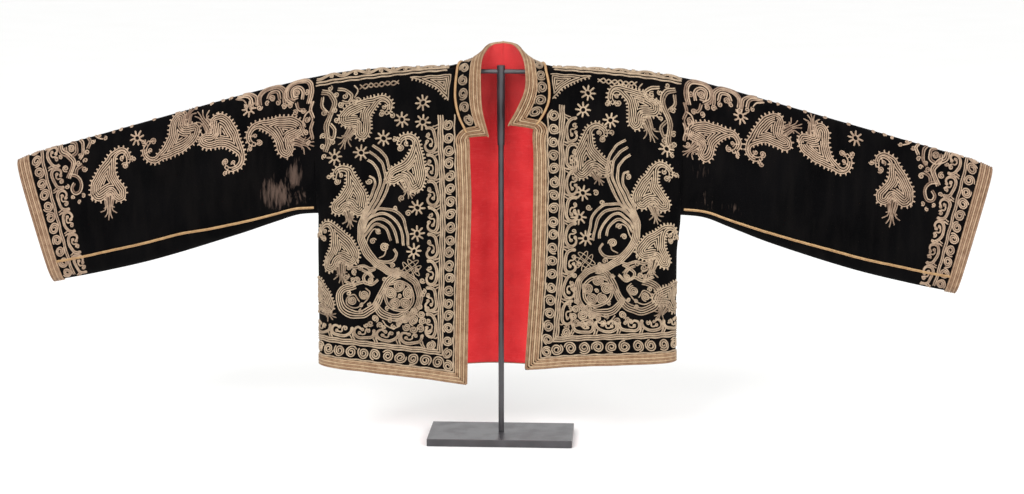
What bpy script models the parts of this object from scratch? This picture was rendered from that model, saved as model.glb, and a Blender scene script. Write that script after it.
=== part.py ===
"""Short velvet jacket with long sleeves, a notched stand collar and corded edges, worn by a T-shaped
steel display stand. Metres, +Z up, -Y is the front, origin under the middle of the base plate.

The cloth is one continuous hollow form. It is described by its outline seen from the front and by how
far each half of it stands off the plane of the crossbar. Every piece is cut from that form.
Left and right are those of the front view."""

import math

import bmesh
import bpy
from mathutils import Vector

# Stand
BASE_WIDTH = 0.214
BASE_DEPTH = 0.108
BASE_THICKNESS = 0.011
BASE_BEVEL = 0.0008
POST_RADIUS = 0.0042
POST_TOP = 0.512
POST_CHAMFER = 0.001
SOCKET_RADIUS = 0.0060
SOCKET_FOOT_RADIUS = 0.0053
SOCKET_BOTTOM = 0.441
SOCKET_TAPER_TOP = 0.478
SOCKET_TOP = 0.5575
SOCKET_CHAMFER = 0.0008
BORE_RADIUS = 0.0045
BORE_TOP = 0.516
BAR_RADIUS = 0.0034
BAR_BELOW_FOLD = 0.0087
STEEL_GAP = 0.0003

# Cloth thicknesses and the spaces between pieces
VELVET = 0.0020
LINING = 0.0010
BRAID = 0.0022
RIB = 0.0008
SEAM_GAP = 0.0004
SHOULDER_GAP = 0.0011
LAYER_GAP = 0.0004
LINING_GAP = 0.0011
BRAID_WIDTH = 0.0180
HEM_BRAID_WIDTH = 0.0150
COLLAR_BRAID_WIDTH = 0.0160
CUFF_BRAID_WIDTH = 0.0185
BRAID_RIBS = 5

# The fold over the bar and the arms
SHOULDER_HEIGHT = 0.557
NECK_POINT = 0.066
SHOULDER_SLOPE = 0.033
ARM_SLOPE = 0.283
SHOULDER_BEND_X = 0.235
SHOULDER_BEND_WIDTH = 0.030
NECK_RISE = 0.034
NECK_RISE_WIDTH = 0.077

# How far the cloth stands off the bar's plane, and how sharply it turns at its folds
FRONT_DEPTH = 0.045
BACK_DEPTH = 0.036
ARM_DEPTH = 0.034
CUFF_DEPTH = 0.017
HEM_FLARE = 0.22
FRONT_FOLDS = (
    # depth, from crest to crest, phase
    (0.0020, 0.125, -2.01),
)
BACK_FOLDS = (
    # depth, from crest to crest, phase
    (0.0040, 0.150, 0.0),
    (0.0018, 0.083, 1.1),
)
FOLDS_START = 0.05
FOLDS_FULL = 0.35
ARM_DRAG = 0.0024
ARM_SLACK = 0.0014
TOP_FOLD_RADIUS = 0.007
SIDE_FOLD_RADIUS = 0.017
CUFF_FOLD_RADIUS = 0.008
FULL_DROP = 0.45
CUFF_DROOP = 0.005
CUFF_DROOP_START = 0.9334


# Height of the fold under the arm, by distance from the middle
UNDERARM = (
    # x, z
    (0.262, 0.339),
    (0.298, 0.336),
    (0.331, 0.325),
    (0.390, 0.304),
    (0.510, 0.2665),
    (0.600, 0.245),
    (0.672, 0.231),
)

SIDES = {
    "left": {
        "sign": -1,
        "armhole": 0.270,
        "side": 0.271,
        "armpit": 0.338,
        # how far in front of the fold the shoulder seam lies, at the neck and at the armhole
        "shoulder_seam": (0.008, 0.016),
        # heights of the hem at the front edge, half way and at the side
        "hem": (0.0920, 0.1040, 0.1115),
        # ends of the cuff at the top and bottom fold, and how the arm differs from the other one
        "cuff": (0.716, 0.668),
        "arm_rise": 0.002,
        "underarm_drop": -0.001,
        # how far above the fold under the arm the corded seam runs
        "seam_rise": ((0.290, 0.011), (0.360, 0.016), (0.420, 0.022), (0.480, 0.029), (0.680, 0.029)),
    },
    "right": {
        "sign": 1,
        "armhole": 0.263,
        "side": 0.258,
        "armpit": 0.340,
        "shoulder_seam": (0.006, 0.011),
        "hem": (0.1165, 0.1225, 0.1225),
        "cuff": (0.711, 0.664),
        "arm_rise": 0.000,
        "underarm_drop": 0.0035,
        "seam_rise": ((0.290, 0.011), (0.350, 0.014), (0.420, 0.018), (0.500, 0.021), (0.680, 0.024)),
    },
}
BACK_HEM = 0.106

# Front edge and neckline of each front: distance from the middle, by height
FRONT_EDGE = {
    "left": (
        # z, x
        (0.080, 0.0480),
        (0.189, 0.0460),
        (0.278, 0.0440),
        (0.366, 0.0420),
        (0.424, 0.0440),
        (0.455, 0.0455),
        (0.467, 0.0520),
        (0.484, 0.0610),
        (0.508, 0.0670),
        (0.526, 0.0675),
        (0.550, 0.0660),
        (0.580, 0.0640),
    ),
    "right": (
        # z, x
        (0.100, 0.0370),
        (0.190, 0.0430),
        (0.279, 0.0480),
        (0.367, 0.0500),
        (0.430, 0.0500),
        (0.468, 0.0495),
        (0.479, 0.0590),
        (0.492, 0.0670),
        (0.508, 0.0730),
        (0.529, 0.0730),
        (0.553, 0.0680),
        (0.580, 0.0650),
    ),
}
NOTCH_HEIGHT = {"left": 0.455, "right": 0.468}
BACK_NECK_DROP = 0.038
NECK_ROUNDNESS = 0.75

# Free edge of the collar, from the tip at the front round to the middle of the back
COLLAR_EDGE = {
    "left": (
        # along, x, y, z
        (0.00, 0.0160, -0.0490, 0.4595),
        (0.20, 0.0255, -0.0480, 0.497),
        (0.40, 0.0280, -0.0410, 0.532),
        (0.55, 0.0285, -0.0280, 0.557),
        (0.70, 0.0260, -0.0090, 0.575),
        (0.85, 0.0170, 0.0130, 0.587),
        (1.00, -0.0020, 0.0220, 0.590),
    ),
    "right": (
        # along, x, y, z
        (0.00, 0.0140, -0.0490, 0.4755),
        (0.20, 0.0290, -0.0480, 0.503),
        (0.40, 0.0385, -0.0410, 0.530),
        (0.55, 0.0375, -0.0280, 0.556),
        (0.70, 0.0320, -0.0090, 0.575),
        (0.85, 0.0210, 0.0130, 0.587),
        (1.00, 0.0020, 0.0220, 0.590),
    ),
}
COLLAR_FRONT_SHARE = 0.55
COLLAR_BULGE = 0.003
COLLAR_START = 0.0008
COLLAR_CORNER_CLEARANCE = 0.0012
COLLAR_WIDTH = 0.038
COLLAR_BRAID_CLEARANCE = 0.0006

SEAM_CORD_RADIUS = 0.0021
NECK_CORD_RADIUS = 0.0017
NECK_CORD_CLEARANCE = 0.0007

# Mesh sizes
FRONT_COLUMNS = 12
FRONT_ROWS = 17
BACK_ROWS = (
    *(0.0, 0.010, 0.019, 0.028, 0.040, 0.056, 0.080, 0.115, 0.160),
    *(0.22, 0.30, 0.39, 0.48, 0.57, 0.66, 0.75, 0.84, 0.92, 1.0),
)
BACK_HALF_COLUMNS = (
    *(0.0, 0.06, 0.105, 0.135, 0.149, 0.155, 0.160, 0.166, 0.175),
    *(0.27, 0.38, 0.49, 0.60, 0.71, 0.82, 0.92),
)
SLEEVE_STATIONS = 15
SLEEVE_AROUND = 20
COLLAR_STATIONS = 28
SIDE_LIMIT = 0.9965
TURNED_SIDES = 24
BAR_STATIONS = (0.0, 0.066, 0.12, 0.17, 0.20, 0.22, 0.235, 0.25, 0.27, 0.30, 0.35, 0.45, 0.55, 0.655)
SHARP_ANGLE = math.radians(42)
WELD = 1e-6

COLOURS = {
    # base colour, roughness, metallic
    "velvet": ((0.010, 0.009, 0.010), 0.85, 0.0),
    "lining": ((0.62, 0.035, 0.045), 0.75, 0.0),
    "braid": ((0.42, 0.27, 0.15), 0.45, 0.35),
    "steel": ((0.045, 0.043, 0.047), 0.42, 0.60),
}


def smooth(t):
    """Eased step from 0 to 1."""
    t = min(1.0, max(0.0, t))
    return t * t * (3 - 2 * t)


def mix(a, b, t):
    return a + (b - a) * t


def power(t, exponent):
    return math.copysign(abs(t) ** exponent, t)


def spread(count, start=0.0, end=1.0):
    return [mix(start, end, i / count) for i in range(count + 1)]


def through(rows, x, column=1):
    """A smooth curve through a table's points, read at x."""
    last = len(rows) - 1
    i = 0
    while i < last - 1 and x > rows[i + 1][0]:
        i += 1
    x0, x1 = rows[i][0], rows[i + 1][0]
    y0, y1 = rows[i][column], rows[i + 1][column]

    def slope(k):
        a, b = max(0, k - 1), min(last, k + 1)
        return (rows[b][column] - rows[a][column]) / (rows[b][0] - rows[a][0])

    span = x1 - x0
    t = min(1.0, max(0.0, (x - x0) / span))
    rise0, rise1 = slope(i) * span, slope(i + 1) * span
    return (
        y0 * (2 * t**3 - 3 * t**2 + 1)
        + rise0 * (t**3 - 2 * t**2 + t)
        + y1 * (3 * t**2 - 2 * t**3)
        + rise1 * (t**3 - t**2)
    )


def bar_line(x):
    """Height of the cloth's top fold where it lies on the bar or an arm."""
    out = max(abs(x), NECK_POINT) - NECK_POINT
    bend = SHOULDER_BEND_WIDTH * math.log1p(math.exp((abs(x) - SHOULDER_BEND_X) / SHOULDER_BEND_WIDTH))
    return SHOULDER_HEIGHT - SHOULDER_SLOPE * out - (ARM_SLOPE - SHOULDER_SLOPE) * bend


def top_line(x):
    """Height at which the front and the back of the form close; it rises over the neck."""
    return bar_line(x) + NECK_RISE * (1 - smooth(abs(x) / NECK_RISE_WIDTH))


def drop_for(q):
    """Drop below the top fold after a way q along the cloth, and the other way round."""
    return math.hypot(q, TOP_FOLD_RADIUS) - TOP_FOLD_RADIUS


def along_for(drop):
    return math.sqrt((max(drop, 0.0) + TOP_FOLD_RADIUS) ** 2 - TOP_FOLD_RADIUS**2)


def turn(distance, radius, depth):
    """How much of its depth the cloth has at a distance from a fold."""
    return 1 - math.exp(-2 * radius * max(distance, 0.0) / depth**2)


def depth_at(x, drop, front):
    across = abs(x)
    deep = mix(FRONT_DEPTH if front else BACK_DEPTH, ARM_DEPTH, smooth((across - 0.10) / 0.17))
    deep = mix(deep, CUFF_DEPTH, smooth((across - 0.27) / 0.40) ** 0.8)
    flare = HEM_FLARE * smooth(drop / FULL_DROP) * (1 - smooth((across - 0.25) / 0.05))
    return deep * (1 + flare)


def folds_at(x, drop, front):
    """The soft vertical folds of the body, which grow down from the shoulders and end at the sides."""
    grown = smooth((drop - FOLDS_START) / (FOLDS_FULL - FOLDS_START)) * (1 - smooth((abs(x) - 0.19) / 0.06))
    height = 0.0
    for depth, length, phase in FRONT_FOLDS if front else BACK_FOLDS:
        height += depth * math.cos(2 * math.pi * (abs(x) if front else x) / length + phase)
    return grown * height


def outer_x(side, z):
    """Where a front or the back ends: the armhole seam, and below the armpit the side."""
    return mix(side["armhole"], side["side"], smooth((side["armpit"] - z) / 0.06))


def body_point(side, x, q):
    """A point of the body's outer face. x is the distance from the middle. q is the way along the
    cloth from the top fold, to the front if it is positive and to the back if it is negative."""
    front = q > 0
    drop = drop_for(q)
    z = top_line(x) - drop
    deep = depth_at(x, drop, front)
    to_side = math.hypot(max(outer_x(side, z) - x, 0.0), max(z - side["armpit"], 0.0))
    closing = turn(drop, TOP_FOLD_RADIUS, deep) * turn(to_side, SIDE_FOLD_RADIUS, deep)
    out = (deep + folds_at(side["sign"] * x, drop, front)) * math.sqrt(closing)
    return Vector((side["sign"] * x, -out if front else out, z))


def edge_x(name, q):
    """Distance from the middle of a front's edge or neckline, a way q down from the fold."""
    x = 0.06
    for _ in range(4):
        x = through(FRONT_EDGE[name], top_line(x) - drop_for(q))
    return x


def notch_at(name):
    """The way along the cloth from the fold down to the collar's notch."""
    x = through(FRONT_EDGE[name], NOTCH_HEIGHT[name])
    return along_for(top_line(x) - NOTCH_HEIGHT[name])


def body_at(a, q):
    """The same by a share a of the half width, -1 to 1. Its steps get short where the sides turn."""
    side = SIDES["left"] if a < 0 else SIDES["right"]
    x = 0.15
    for _ in range(4):
        z = top_line(x) - drop_for(q)
        x = outer_x(side, z) * math.sin(math.pi / 2 * abs(a))
    return body_point(side, x, q)


def share_at(side, x, q):
    """The share a of the half width at a distance x from the middle."""
    z = top_line(x) - drop_for(q)
    return side["sign"] * math.asin(min(1.0, x / outer_x(side, z))) * 2 / math.pi


def lifted(surface, u, v, lift, flip=1):
    """A point of a surface moved out along its normal."""
    step = 1e-4
    along_u = surface(u + step, v) - surface(u - step, v)
    along_v = surface(u, v + step) - surface(u, v - step)
    return surface(u, v) + along_v.cross(along_u).normalized() * lift * flip


def on_body(a, q, lift):
    """A point over the body's face, kept on its own side of the armhole seams."""
    point = lifted(body_at, a, q, lift)
    side = SIDES["left"] if a < 0 else SIDES["right"]
    if point.z > side["armpit"] - 0.012:
        point.x = side["sign"] * min(abs(point.x), side["armhole"])
    return point


def hem_height(side, x):
    edge, half, far = side["hem"]
    return through(((0.04, edge), (0.15, half), (0.27, far)), x)


def front_place(name, across, down):
    """Where a front's grid lies on the body: across from its edge (0) to its side (1), and down from
    the shoulder seam (0) to the hem (1)."""
    side = SIDES[name]
    a, q = side["sign"] * 0.5, 0.2
    for _ in range(5):
        x = abs(body_at(a, q).x)
        seam = mix(*side["shoulder_seam"], smooth((x - NECK_POINT) / 0.15))
        q = mix(seam, along_for(top_line(x) - hem_height(side, x)), power(down, 1.35))
        edge = share_at(side, edge_x(name, q), q)
        a = mix(edge, side["sign"] * SIDE_LIMIT, across)
    return a, q


def back_place(a, down):
    """Where the back's grid lies. Its top edge is the shoulder seam, and behind it the neckline."""
    side = SIDES["left"] if a < 0 else SIDES["right"]
    q = -0.2
    for _ in range(5):
        x = abs(body_at(a, q).x)
        seam = mix(*side["shoulder_seam"], smooth((x - NECK_POINT) / 0.15)) - SHOULDER_GAP
        corner = edge_x("left" if a < 0 else "right", seam)
        behind = max(0.0, 1 - (x / corner) ** 2) ** NECK_ROUNDNESS
        start = mix(seam, -along_for(BACK_NECK_DROP), behind)
        hem = mix(BACK_HEM, side["hem"][2], smooth((x - 0.08) / 0.19))
        q = mix(start, -along_for(top_line(x) - hem), down)
    return a, q


def sleeve_at(side, along, around):
    """A point of a sleeve's outer face. along runs from the armhole (0) to the cuff (1), and around
    from the top fold down the front and up the back."""
    around %= 1.0
    top_x = mix(side["armhole"], side["cuff"][0], along)
    low_x = mix(side["armhole"], side["cuff"][1], along)
    top = Vector((top_x, bar_line(top_x) + side["arm_rise"] * smooth(along / 0.3)))
    top.y -= CUFF_DROOP * max(0.0, (along - CUFF_DROOP_START) / (1 - CUFF_DROOP_START))
    low = Vector((low_x, through(UNDERARM, low_x) - side["underarm_drop"] * smooth(along / 0.4)))
    low.y += (side["armpit"] - through(UNDERARM, side["armhole"])) * (1 - smooth(along / 0.2))
    share = (1 - math.cos(2 * math.pi * around)) / 2
    length = (top - low).length
    front = around < 0.5
    across, z = top.lerp(low, share)
    deep = depth_at(across, share * length, front)
    under = mix(SIDE_FOLD_RADIUS, CUFF_FOLD_RADIUS, smooth(along / 0.5))
    closing = turn(share * length, TOP_FOLD_RADIUS, deep) * turn((1 - share) * length, under, deep)
    drag = math.cos(2 * math.pi * (2.6 * share + 3.2 * along)) * math.exp(-along / 0.30)
    drag *= smooth(along / 0.08)
    slack = math.cos(2 * math.pi * (4.0 * along - 0.7 * share))
    slack *= smooth(along / 0.2) * smooth((1 - along) / 0.2)
    creases = (ARM_DRAG * drag + ARM_SLACK * slack) * smooth(share / 0.3) * smooth((1 - share) / 0.15)
    out = deep * math.sqrt(closing) + creases
    return Vector((side["sign"] * across, -out if front else out, z))


def on_sleeve(side, along, around, lift):
    """A point over a sleeve's face, kept on its own side of the armhole seam."""
    point = lifted(lambda u, v: sleeve_at(side, u, v), along, around, lift, side["sign"])
    point.x = side["sign"] * max(abs(point.x), side["armhole"] + SEAM_GAP)
    return point


def neckline(side, name, along):
    """The seam of the collar, from the notch (0) round to the middle of the back (1)."""
    seam = side["shoulder_seam"][0]
    if along < COLLAR_FRONT_SHARE:
        q = mix(notch_at(name), seam, along / COLLAR_FRONT_SHARE)
        x = edge_x(name, q)
    else:
        angle = (along - COLLAR_FRONT_SHARE) / (1 - COLLAR_FRONT_SHARE) * math.pi / 2
        q = mix(seam, -along_for(BACK_NECK_DROP), math.sin(angle) ** (2 * NECK_ROUNDNESS))
        x = edge_x(name, seam) * math.cos(angle)
    return body_point(side, x, q)


def collar_at(t, up):
    """The collar's outer face, with t from the left tip (-1) round the back to the right tip (1), and
    up from the seam (0) to the free edge (1)."""
    name = "left" if t < 0 else "right"
    side, rows = SIDES[name], COLLAR_EDGE[name]
    along = min(1.0, max(0.0, 1 - abs(t)))
    edge = Vector((side["sign"] * through(rows, along, 1), through(rows, along, 2), through(rows, along, 3)))
    seam = neckline(side, name, along)
    clearance = COLLAR_START + COLLAR_CORNER_CLEARANCE * math.exp(-(((along - 0.60) / 0.13) ** 2))
    start = seam + (edge - seam).normalized() * clearance
    behind = smooth((along - 0.45) / 0.5)
    outwards = Vector((side["sign"] * 0.35 * (1 - behind), -1.0 + 1.8 * behind, 0.3))
    return start.lerp(edge, up) + outwards * COLLAR_BULGE * math.sin(math.pi * min(1.0, max(0.0, up)))


def on_collar(t, up, lift):
    limit = 0.9995
    return lifted(collar_at, min(limit, max(-limit, t)), up, lift)


def material(name):
    found = bpy.data.materials.get(name)
    if found:
        return found
    colour, roughness, metallic = COLOURS[name]
    made = bpy.data.materials.new(name)
    made.use_nodes = True
    shader = made.node_tree.nodes["Principled BSDF"]
    shader.inputs["Base Color"].default_value = (*colour, 1)
    shader.inputs["Roughness"].default_value = roughness
    shader.inputs["Metallic"].default_value = metallic
    return made


def place_object(name, mesh, finish):
    """Every piece gets a finish of its own, so that it can be changed alone."""
    made = bpy.data.objects.new(name, mesh)
    own = material(finish).copy()
    own.name = f"{finish}_{name}"
    mesh.materials.clear()
    mesh.materials.append(own)
    parts.objects.link(made)
    return made


def finished(mesh):
    """Welds a mesh, turns its faces outwards, cuts them into triangles and shades it smooth."""
    shape = bmesh.new()
    shape.from_mesh(mesh)
    bmesh.ops.remove_doubles(shape, verts=shape.verts, dist=WELD)
    bmesh.ops.recalc_face_normals(shape, faces=shape.faces)
    bmesh.ops.triangulate(shape, faces=shape.faces)
    if shape.calc_volume(signed=True) < 0:
        bmesh.ops.reverse_faces(shape, faces=shape.faces)
    shape.to_mesh(mesh)
    shape.free()
    mesh.shade_smooth()
    mesh.set_sharp_from_angle(angle=SHARP_ANGLE)
    return mesh


def solid(points, faces):
    mesh = bpy.data.meshes.new("shape")
    mesh.from_pydata(points, [], faces)
    return finished(mesh)


def baked(data, change=None):
    """The mesh of a curve, or of a mesh with the modifier that change() adds to it."""
    holder = bpy.data.objects.new("holder", data)
    parts.objects.link(holder)
    if change:
        change(holder)
    mesh = bpy.data.meshes.new_from_object(holder.evaluated_get(bpy.context.evaluated_depsgraph_get()))
    bpy.data.objects.remove(holder)
    return finished(mesh)


def rod(line, radius, resolution=1):
    """A round rod or cord with closed ends along a line of points."""
    curve = bpy.data.curves.new("line", "CURVE")
    curve.dimensions = "3D"
    curve.bevel_depth = radius
    curve.bevel_resolution = resolution
    curve.use_fill_caps = True
    spline = curve.splines.new("POLY")
    spline.points.add(len(line) - 1)
    for point, place in zip(spline.points, line):
        point.co = (*place, 1)
    return baked(curve)


def turned(profile):
    """A profile of (radius, height) pairs turned about the Z axis. It starts and ends on the axis."""
    mesh = bpy.data.meshes.new("profile")
    edges = [(i, i + 1) for i in range(len(profile) - 1)]
    mesh.from_pydata([(radius, 0, z) for radius, z in profile], edges, [])

    def change(holder):
        screw = holder.modifiers.new("turn", "SCREW")
        screw.steps = TURNED_SIDES
        screw.render_steps = TURNED_SIDES
        screw.use_merge_vertices = True
        screw.merge_threshold = WELD

    return baked(mesh, change)


def wall(name, outer, inner, finish, ring=False):
    """A cloth wall between two grids of points. In a ring the columns close on themselves."""
    rows, columns = len(outer), len(outer[0])
    points = [p for row in outer for p in row] + [p for row in inner for p in row]
    inside = rows * columns
    steps = columns if ring else columns - 1

    def at(row, column):
        return row * columns + column % columns

    faces = []
    for r in range(rows - 1):
        for c in range(steps):
            a, b, d, e = at(r, c), at(r, c + 1), at(r + 1, c + 1), at(r + 1, c)
            for triangle in ((a, b, d), (a, d, e)):
                faces.append(triangle)
                faces.append(tuple(i + inside for i in reversed(triangle)))
    for c in range(steps):
        for r in (0, rows - 1):
            faces.append((at(r, c), at(r, c + 1), at(r, c + 1) + inside, at(r, c) + inside))
    if not ring:
        for r in range(rows - 1):
            for c in (0, columns - 1):
                faces.append((at(r, c), at(r + 1, c), at(r + 1, c) + inside, at(r, c) + inside))
    return place_object(name, solid(points, faces), finish)


def loft(name, sections, finish, ring=False):
    """A solid through closed sections of equal point count, capped at its ends unless it is a ring."""
    count, size = len(sections), len(sections[0])
    points = [p for section in sections for p in section]
    faces = []
    for s in range(count if ring else count - 1):
        t = (s + 1) % count
        for i in range(size):
            j = (i + 1) % size
            faces.append((s * size + i, s * size + j, t * size + j))
            faces.append((s * size + i, t * size + j, t * size + i))
    if not ring:
        faces.append(tuple(range(size)))
        faces.append(tuple(range((count - 1) * size, count * size)))
    return place_object(name, solid(points, faces), finish)


def braid(name, place, stations, ring=False):
    """A band of cords lying side by side. place(u, v, lift) is a point over the cloth, and a station
    is the pair of places, at the band's outer and inner edge, that a section runs between."""
    lifts = [BRAID - RIB]
    for _ in range(BRAID_RIBS):
        lifts += [BRAID, BRAID - RIB]
    sections = []
    for (u0, v0), (u1, v1) in stations:
        def at(w, lift):
            return place(mix(u0, u1, w), mix(v0, v1, w), lift)

        section = [at(i / (len(lifts) - 1), lift) for i, lift in enumerate(lifts)]
        sections.append(section + [at(w, LAYER_GAP) for w in (1.0, 0.5, 0.0)])
    return loft(name, sections, "braid", ring)


def cord(name, place, path, radius):
    """A round cord laid on the cloth along a path of places."""
    place_object(name, rod([place(u, v, radius + LAYER_GAP) for u, v in path], radius), "braid")


def build_body():
    inner = -VELVET
    for name in SIDES:
        us, vs = spread(FRONT_COLUMNS), spread(FRONT_ROWS)
        grids = [[[on_body(*front_place(name, u, v), lift) for u in us] for v in vs] for lift in (0.0, inner)]
        wall(f"front_{name}", *grids, "velvet")
    half = list(BACK_HALF_COLUMNS) + [SIDE_LIMIT]
    us = [-u for u in reversed(half[1:])] + half
    grids = [[[on_body(*back_place(u, v), lift) for u in us] for v in BACK_ROWS] for lift in (0.0, inner)]
    wall("back", *grids, "velvet")
    us = us[1:-1]
    vs = BACK_ROWS[:-1] + (0.994,)
    lifts = (inner - LINING_GAP, inner - LINING_GAP - LINING)
    grids = [[[on_body(*back_place(u, v), lift) for u in us] for v in vs] for lift in lifts]
    wall("lining_back", *grids, "lining")


def build_sleeves():
    start = 0.001
    for name, side in SIDES.items():
        alongs = spread(SLEEVE_STATIONS, start, 1.0)
        arounds = spread(SLEEVE_AROUND)[:-1]
        grids = [[[on_sleeve(side, u, v, lift) for v in arounds] for u in alongs] for lift in (0.0, -VELVET)]
        wall(f"sleeve_{name}", *grids, "velvet", ring=True)
        first = 1 - CUFF_BRAID_WIDTH / (side["cuff"][0] - side["armhole"])

        def place(u, v, lift):
            return on_sleeve(side, u, v, lift)

        braid(f"braid_cuff_{name}", place, [((1.0, v), (first, v)) for v in arounds], ring=True)
        path = []
        for along in alongs[1:-1] + [first - 0.004]:
            low = sleeve_at(side, along, 0.5)
            length = (sleeve_at(side, along, 0.0) - low).length
            rise = through(side["seam_rise"], abs(low.x))
            path.append((along, math.acos(2 * rise / length - 1) / (2 * math.pi)))
        cord(f"seam_cord_{name}", place, path, SEAM_CORD_RADIUS)


def build_edges():
    """The braids along the front edges and hems. The one of a front turns the corner in a mitre."""
    for name, side in SIDES.items():
        notch = notch_at(name)
        stations = []
        for down, up, share in ((0.0006, 0.0185, 0.15), (0.006, 0.006, 0.80)):
            q, inner = notch + down, notch - up
            there = edge_x(name, max(inner, 0.0)) + BRAID_WIDTH * share
            stations.append(((share_at(side, edge_x(name, q), q), q), (share_at(side, there, inner), inner)))
        for v in spread(FRONT_ROWS):
            _, q = front_place(name, 0.0, v)
            x = edge_x(name, q)
            if q > notch + 0.012 and v < 0.99:
                stations.append(((share_at(side, x, q), q), (share_at(side, x + BRAID_WIDTH, q), q)))
        a, q = front_place(name, 0.0, 1.0)
        x = abs(body_at(a, q).x)
        stations.append(((a, q), (share_at(side, x + BRAID_WIDTH, q), q - HEM_BRAID_WIDTH)))
        for u in spread(FRONT_COLUMNS)[1:]:
            a, q = front_place(name, u, 1.0)
            stations.append(((a, q), (a, q - HEM_BRAID_WIDTH)))
        braid(f"braid_front_{name}", on_body, stations)
    half = list(BACK_HALF_COLUMNS) + [SIDE_LIMIT]
    stations = []
    for u in [-u for u in reversed(half[1:])] + half:
        a, q = back_place(u, 1.0)
        stations.append(((a, q), (a, q + HEM_BRAID_WIDTH)))
    braid("braid_hem_back", on_body, stations)


def build_collar():
    ts = spread(COLLAR_STATIONS, -1.0, 1.0)
    down = 1 - COLLAR_BRAID_WIDTH / COLLAR_WIDTH
    ups = (0.0, down / 2, down, (1 + down) / 2, 1.0)
    grids = [[[on_collar(t, up, lift) for t in ts] for up in ups] for lift in (0.0, -VELVET)]
    wall("collar", *grids, "velvet")
    lifts = (-VELVET - LAYER_GAP, -VELVET - LAYER_GAP - LINING)
    inset = [-0.99] + ts[1:-1] + [0.99]
    grids = [[[on_collar(t, up, lift) for t in inset] for up in (0.0, *ups[1:-1], 0.98)] for lift in lifts]
    wall("collar_lining", *grids, "lining")
    end = ts[1]
    left = [((-1.0, up), (end, down * up)) for up in (0.05, down / 2, down, 1.0)]
    around = [((t, 1.0), (t, down)) for t in ts[2:-2]]
    corner = ((end, 1.0), (mix(end, ts[2], 0.4), down))
    right = [((-u0, v0), (-u1, v1)) for (u0, v0), (u1, v1) in reversed(left + [corner])]

    def place(t, up, lift):
        return on_collar(t, up, lift + COLLAR_BRAID_CLEARANCE * smooth((abs(t) - 0.75) / 0.15))

    braid("braid_collar", place, left + [corner] + around + right)

    def over_seam(t, up, lift):
        return on_collar(t, up, lift + NECK_CORD_CLEARANCE)

    path = [(mix(end, ts[2], 0.3), 0.10)] + [(t, 0.10) for t in ts[2:-2]] + [(-mix(end, ts[2], 0.3), 0.10)]
    cord("neck_cord", over_seam, path, NECK_CORD_RADIUS)


def build_stand():
    shape = bmesh.new()
    bmesh.ops.create_cube(shape, size=1.0)
    bmesh.ops.scale(shape, vec=(BASE_WIDTH, BASE_DEPTH, BASE_THICKNESS), verts=shape.verts)
    bmesh.ops.bevel(shape, geom=shape.edges[:], offset=BASE_BEVEL, segments=2, profile=0.5, affect="EDGES")
    mesh = bpy.data.meshes.new("plate")
    shape.to_mesh(mesh)
    shape.free()
    plate = place_object("stand_base", finished(mesh), "steel")
    plate.location.z = BASE_THICKNESS / 2

    length = POST_TOP - BASE_THICKNESS - STEEL_GAP
    profile = (
        # radius, height
        (0, 0),
        (POST_RADIUS, 0),
        (POST_RADIUS, length - POST_CHAMFER),
        (POST_RADIUS - POST_CHAMFER, length),
        (0, length),
    )
    post = place_object("stand_post", turned(profile), "steel")
    post.location.z = BASE_THICKNESS + STEEL_GAP

    profile = (
        # radius, height: down the outside, then up the bore
        (0, SOCKET_TOP),
        (SOCKET_RADIUS - SOCKET_CHAMFER, SOCKET_TOP),
        (SOCKET_RADIUS, SOCKET_TOP - SOCKET_CHAMFER),
        (SOCKET_RADIUS, SOCKET_TAPER_TOP),
        (SOCKET_FOOT_RADIUS, SOCKET_BOTTOM),
        (BORE_RADIUS, SOCKET_BOTTOM),
        (BORE_RADIUS, BORE_TOP),
        (0, BORE_TOP),
    )
    half = [Vector((x, 0, bar_line(x) - BAR_BELOW_FOLD)) for x in BAR_STATIONS]
    mirrored = [Vector((-p.x, 0, p.z)) for p in reversed(half[1:])]
    bar = bpy.data.objects.new("bar", rod(mirrored + half, BAR_RADIUS, 3))
    parts.objects.link(bar)

    def change(holder):
        union = holder.modifiers.new("bar", "BOOLEAN")
        union.operation = "UNION"
        union.solver = "EXACT"
        union.object = bar

    place_object("stand_head", baked(turned(profile), change), "steel")
    bpy.data.objects.remove(bar)


for leftover in list(bpy.data.objects):
    bpy.data.objects.remove(leftover)
parts = bpy.data.collections.new("sleeved_vest_on_stand")
bpy.context.scene.collection.children.link(parts)
build_stand()
build_body()
build_sleeves()
build_edges()
build_collar()
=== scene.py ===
"""Looks of the black velvet jacket with couched gilt cord on its steel stand.

Metres, +Z up, -Y is the front. Left and right are those of the front view. Every cloth piece is a thin
shell on the form that the solids have, and every cord is swept over that form along a drawn path."""

import math
import random

import bpy
import numpy as np
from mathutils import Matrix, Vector


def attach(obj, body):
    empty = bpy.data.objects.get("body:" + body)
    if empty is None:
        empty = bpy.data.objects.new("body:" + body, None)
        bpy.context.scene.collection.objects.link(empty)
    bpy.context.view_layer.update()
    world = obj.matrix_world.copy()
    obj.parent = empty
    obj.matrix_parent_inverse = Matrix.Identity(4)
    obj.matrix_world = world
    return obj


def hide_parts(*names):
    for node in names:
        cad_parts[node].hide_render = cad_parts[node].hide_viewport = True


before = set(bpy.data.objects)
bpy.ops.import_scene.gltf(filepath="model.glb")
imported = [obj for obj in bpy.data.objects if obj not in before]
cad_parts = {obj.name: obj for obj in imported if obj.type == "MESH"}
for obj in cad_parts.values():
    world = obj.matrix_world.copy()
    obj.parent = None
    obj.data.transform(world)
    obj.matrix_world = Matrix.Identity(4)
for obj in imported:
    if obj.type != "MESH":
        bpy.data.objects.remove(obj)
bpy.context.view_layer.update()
random.seed(7)

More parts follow.
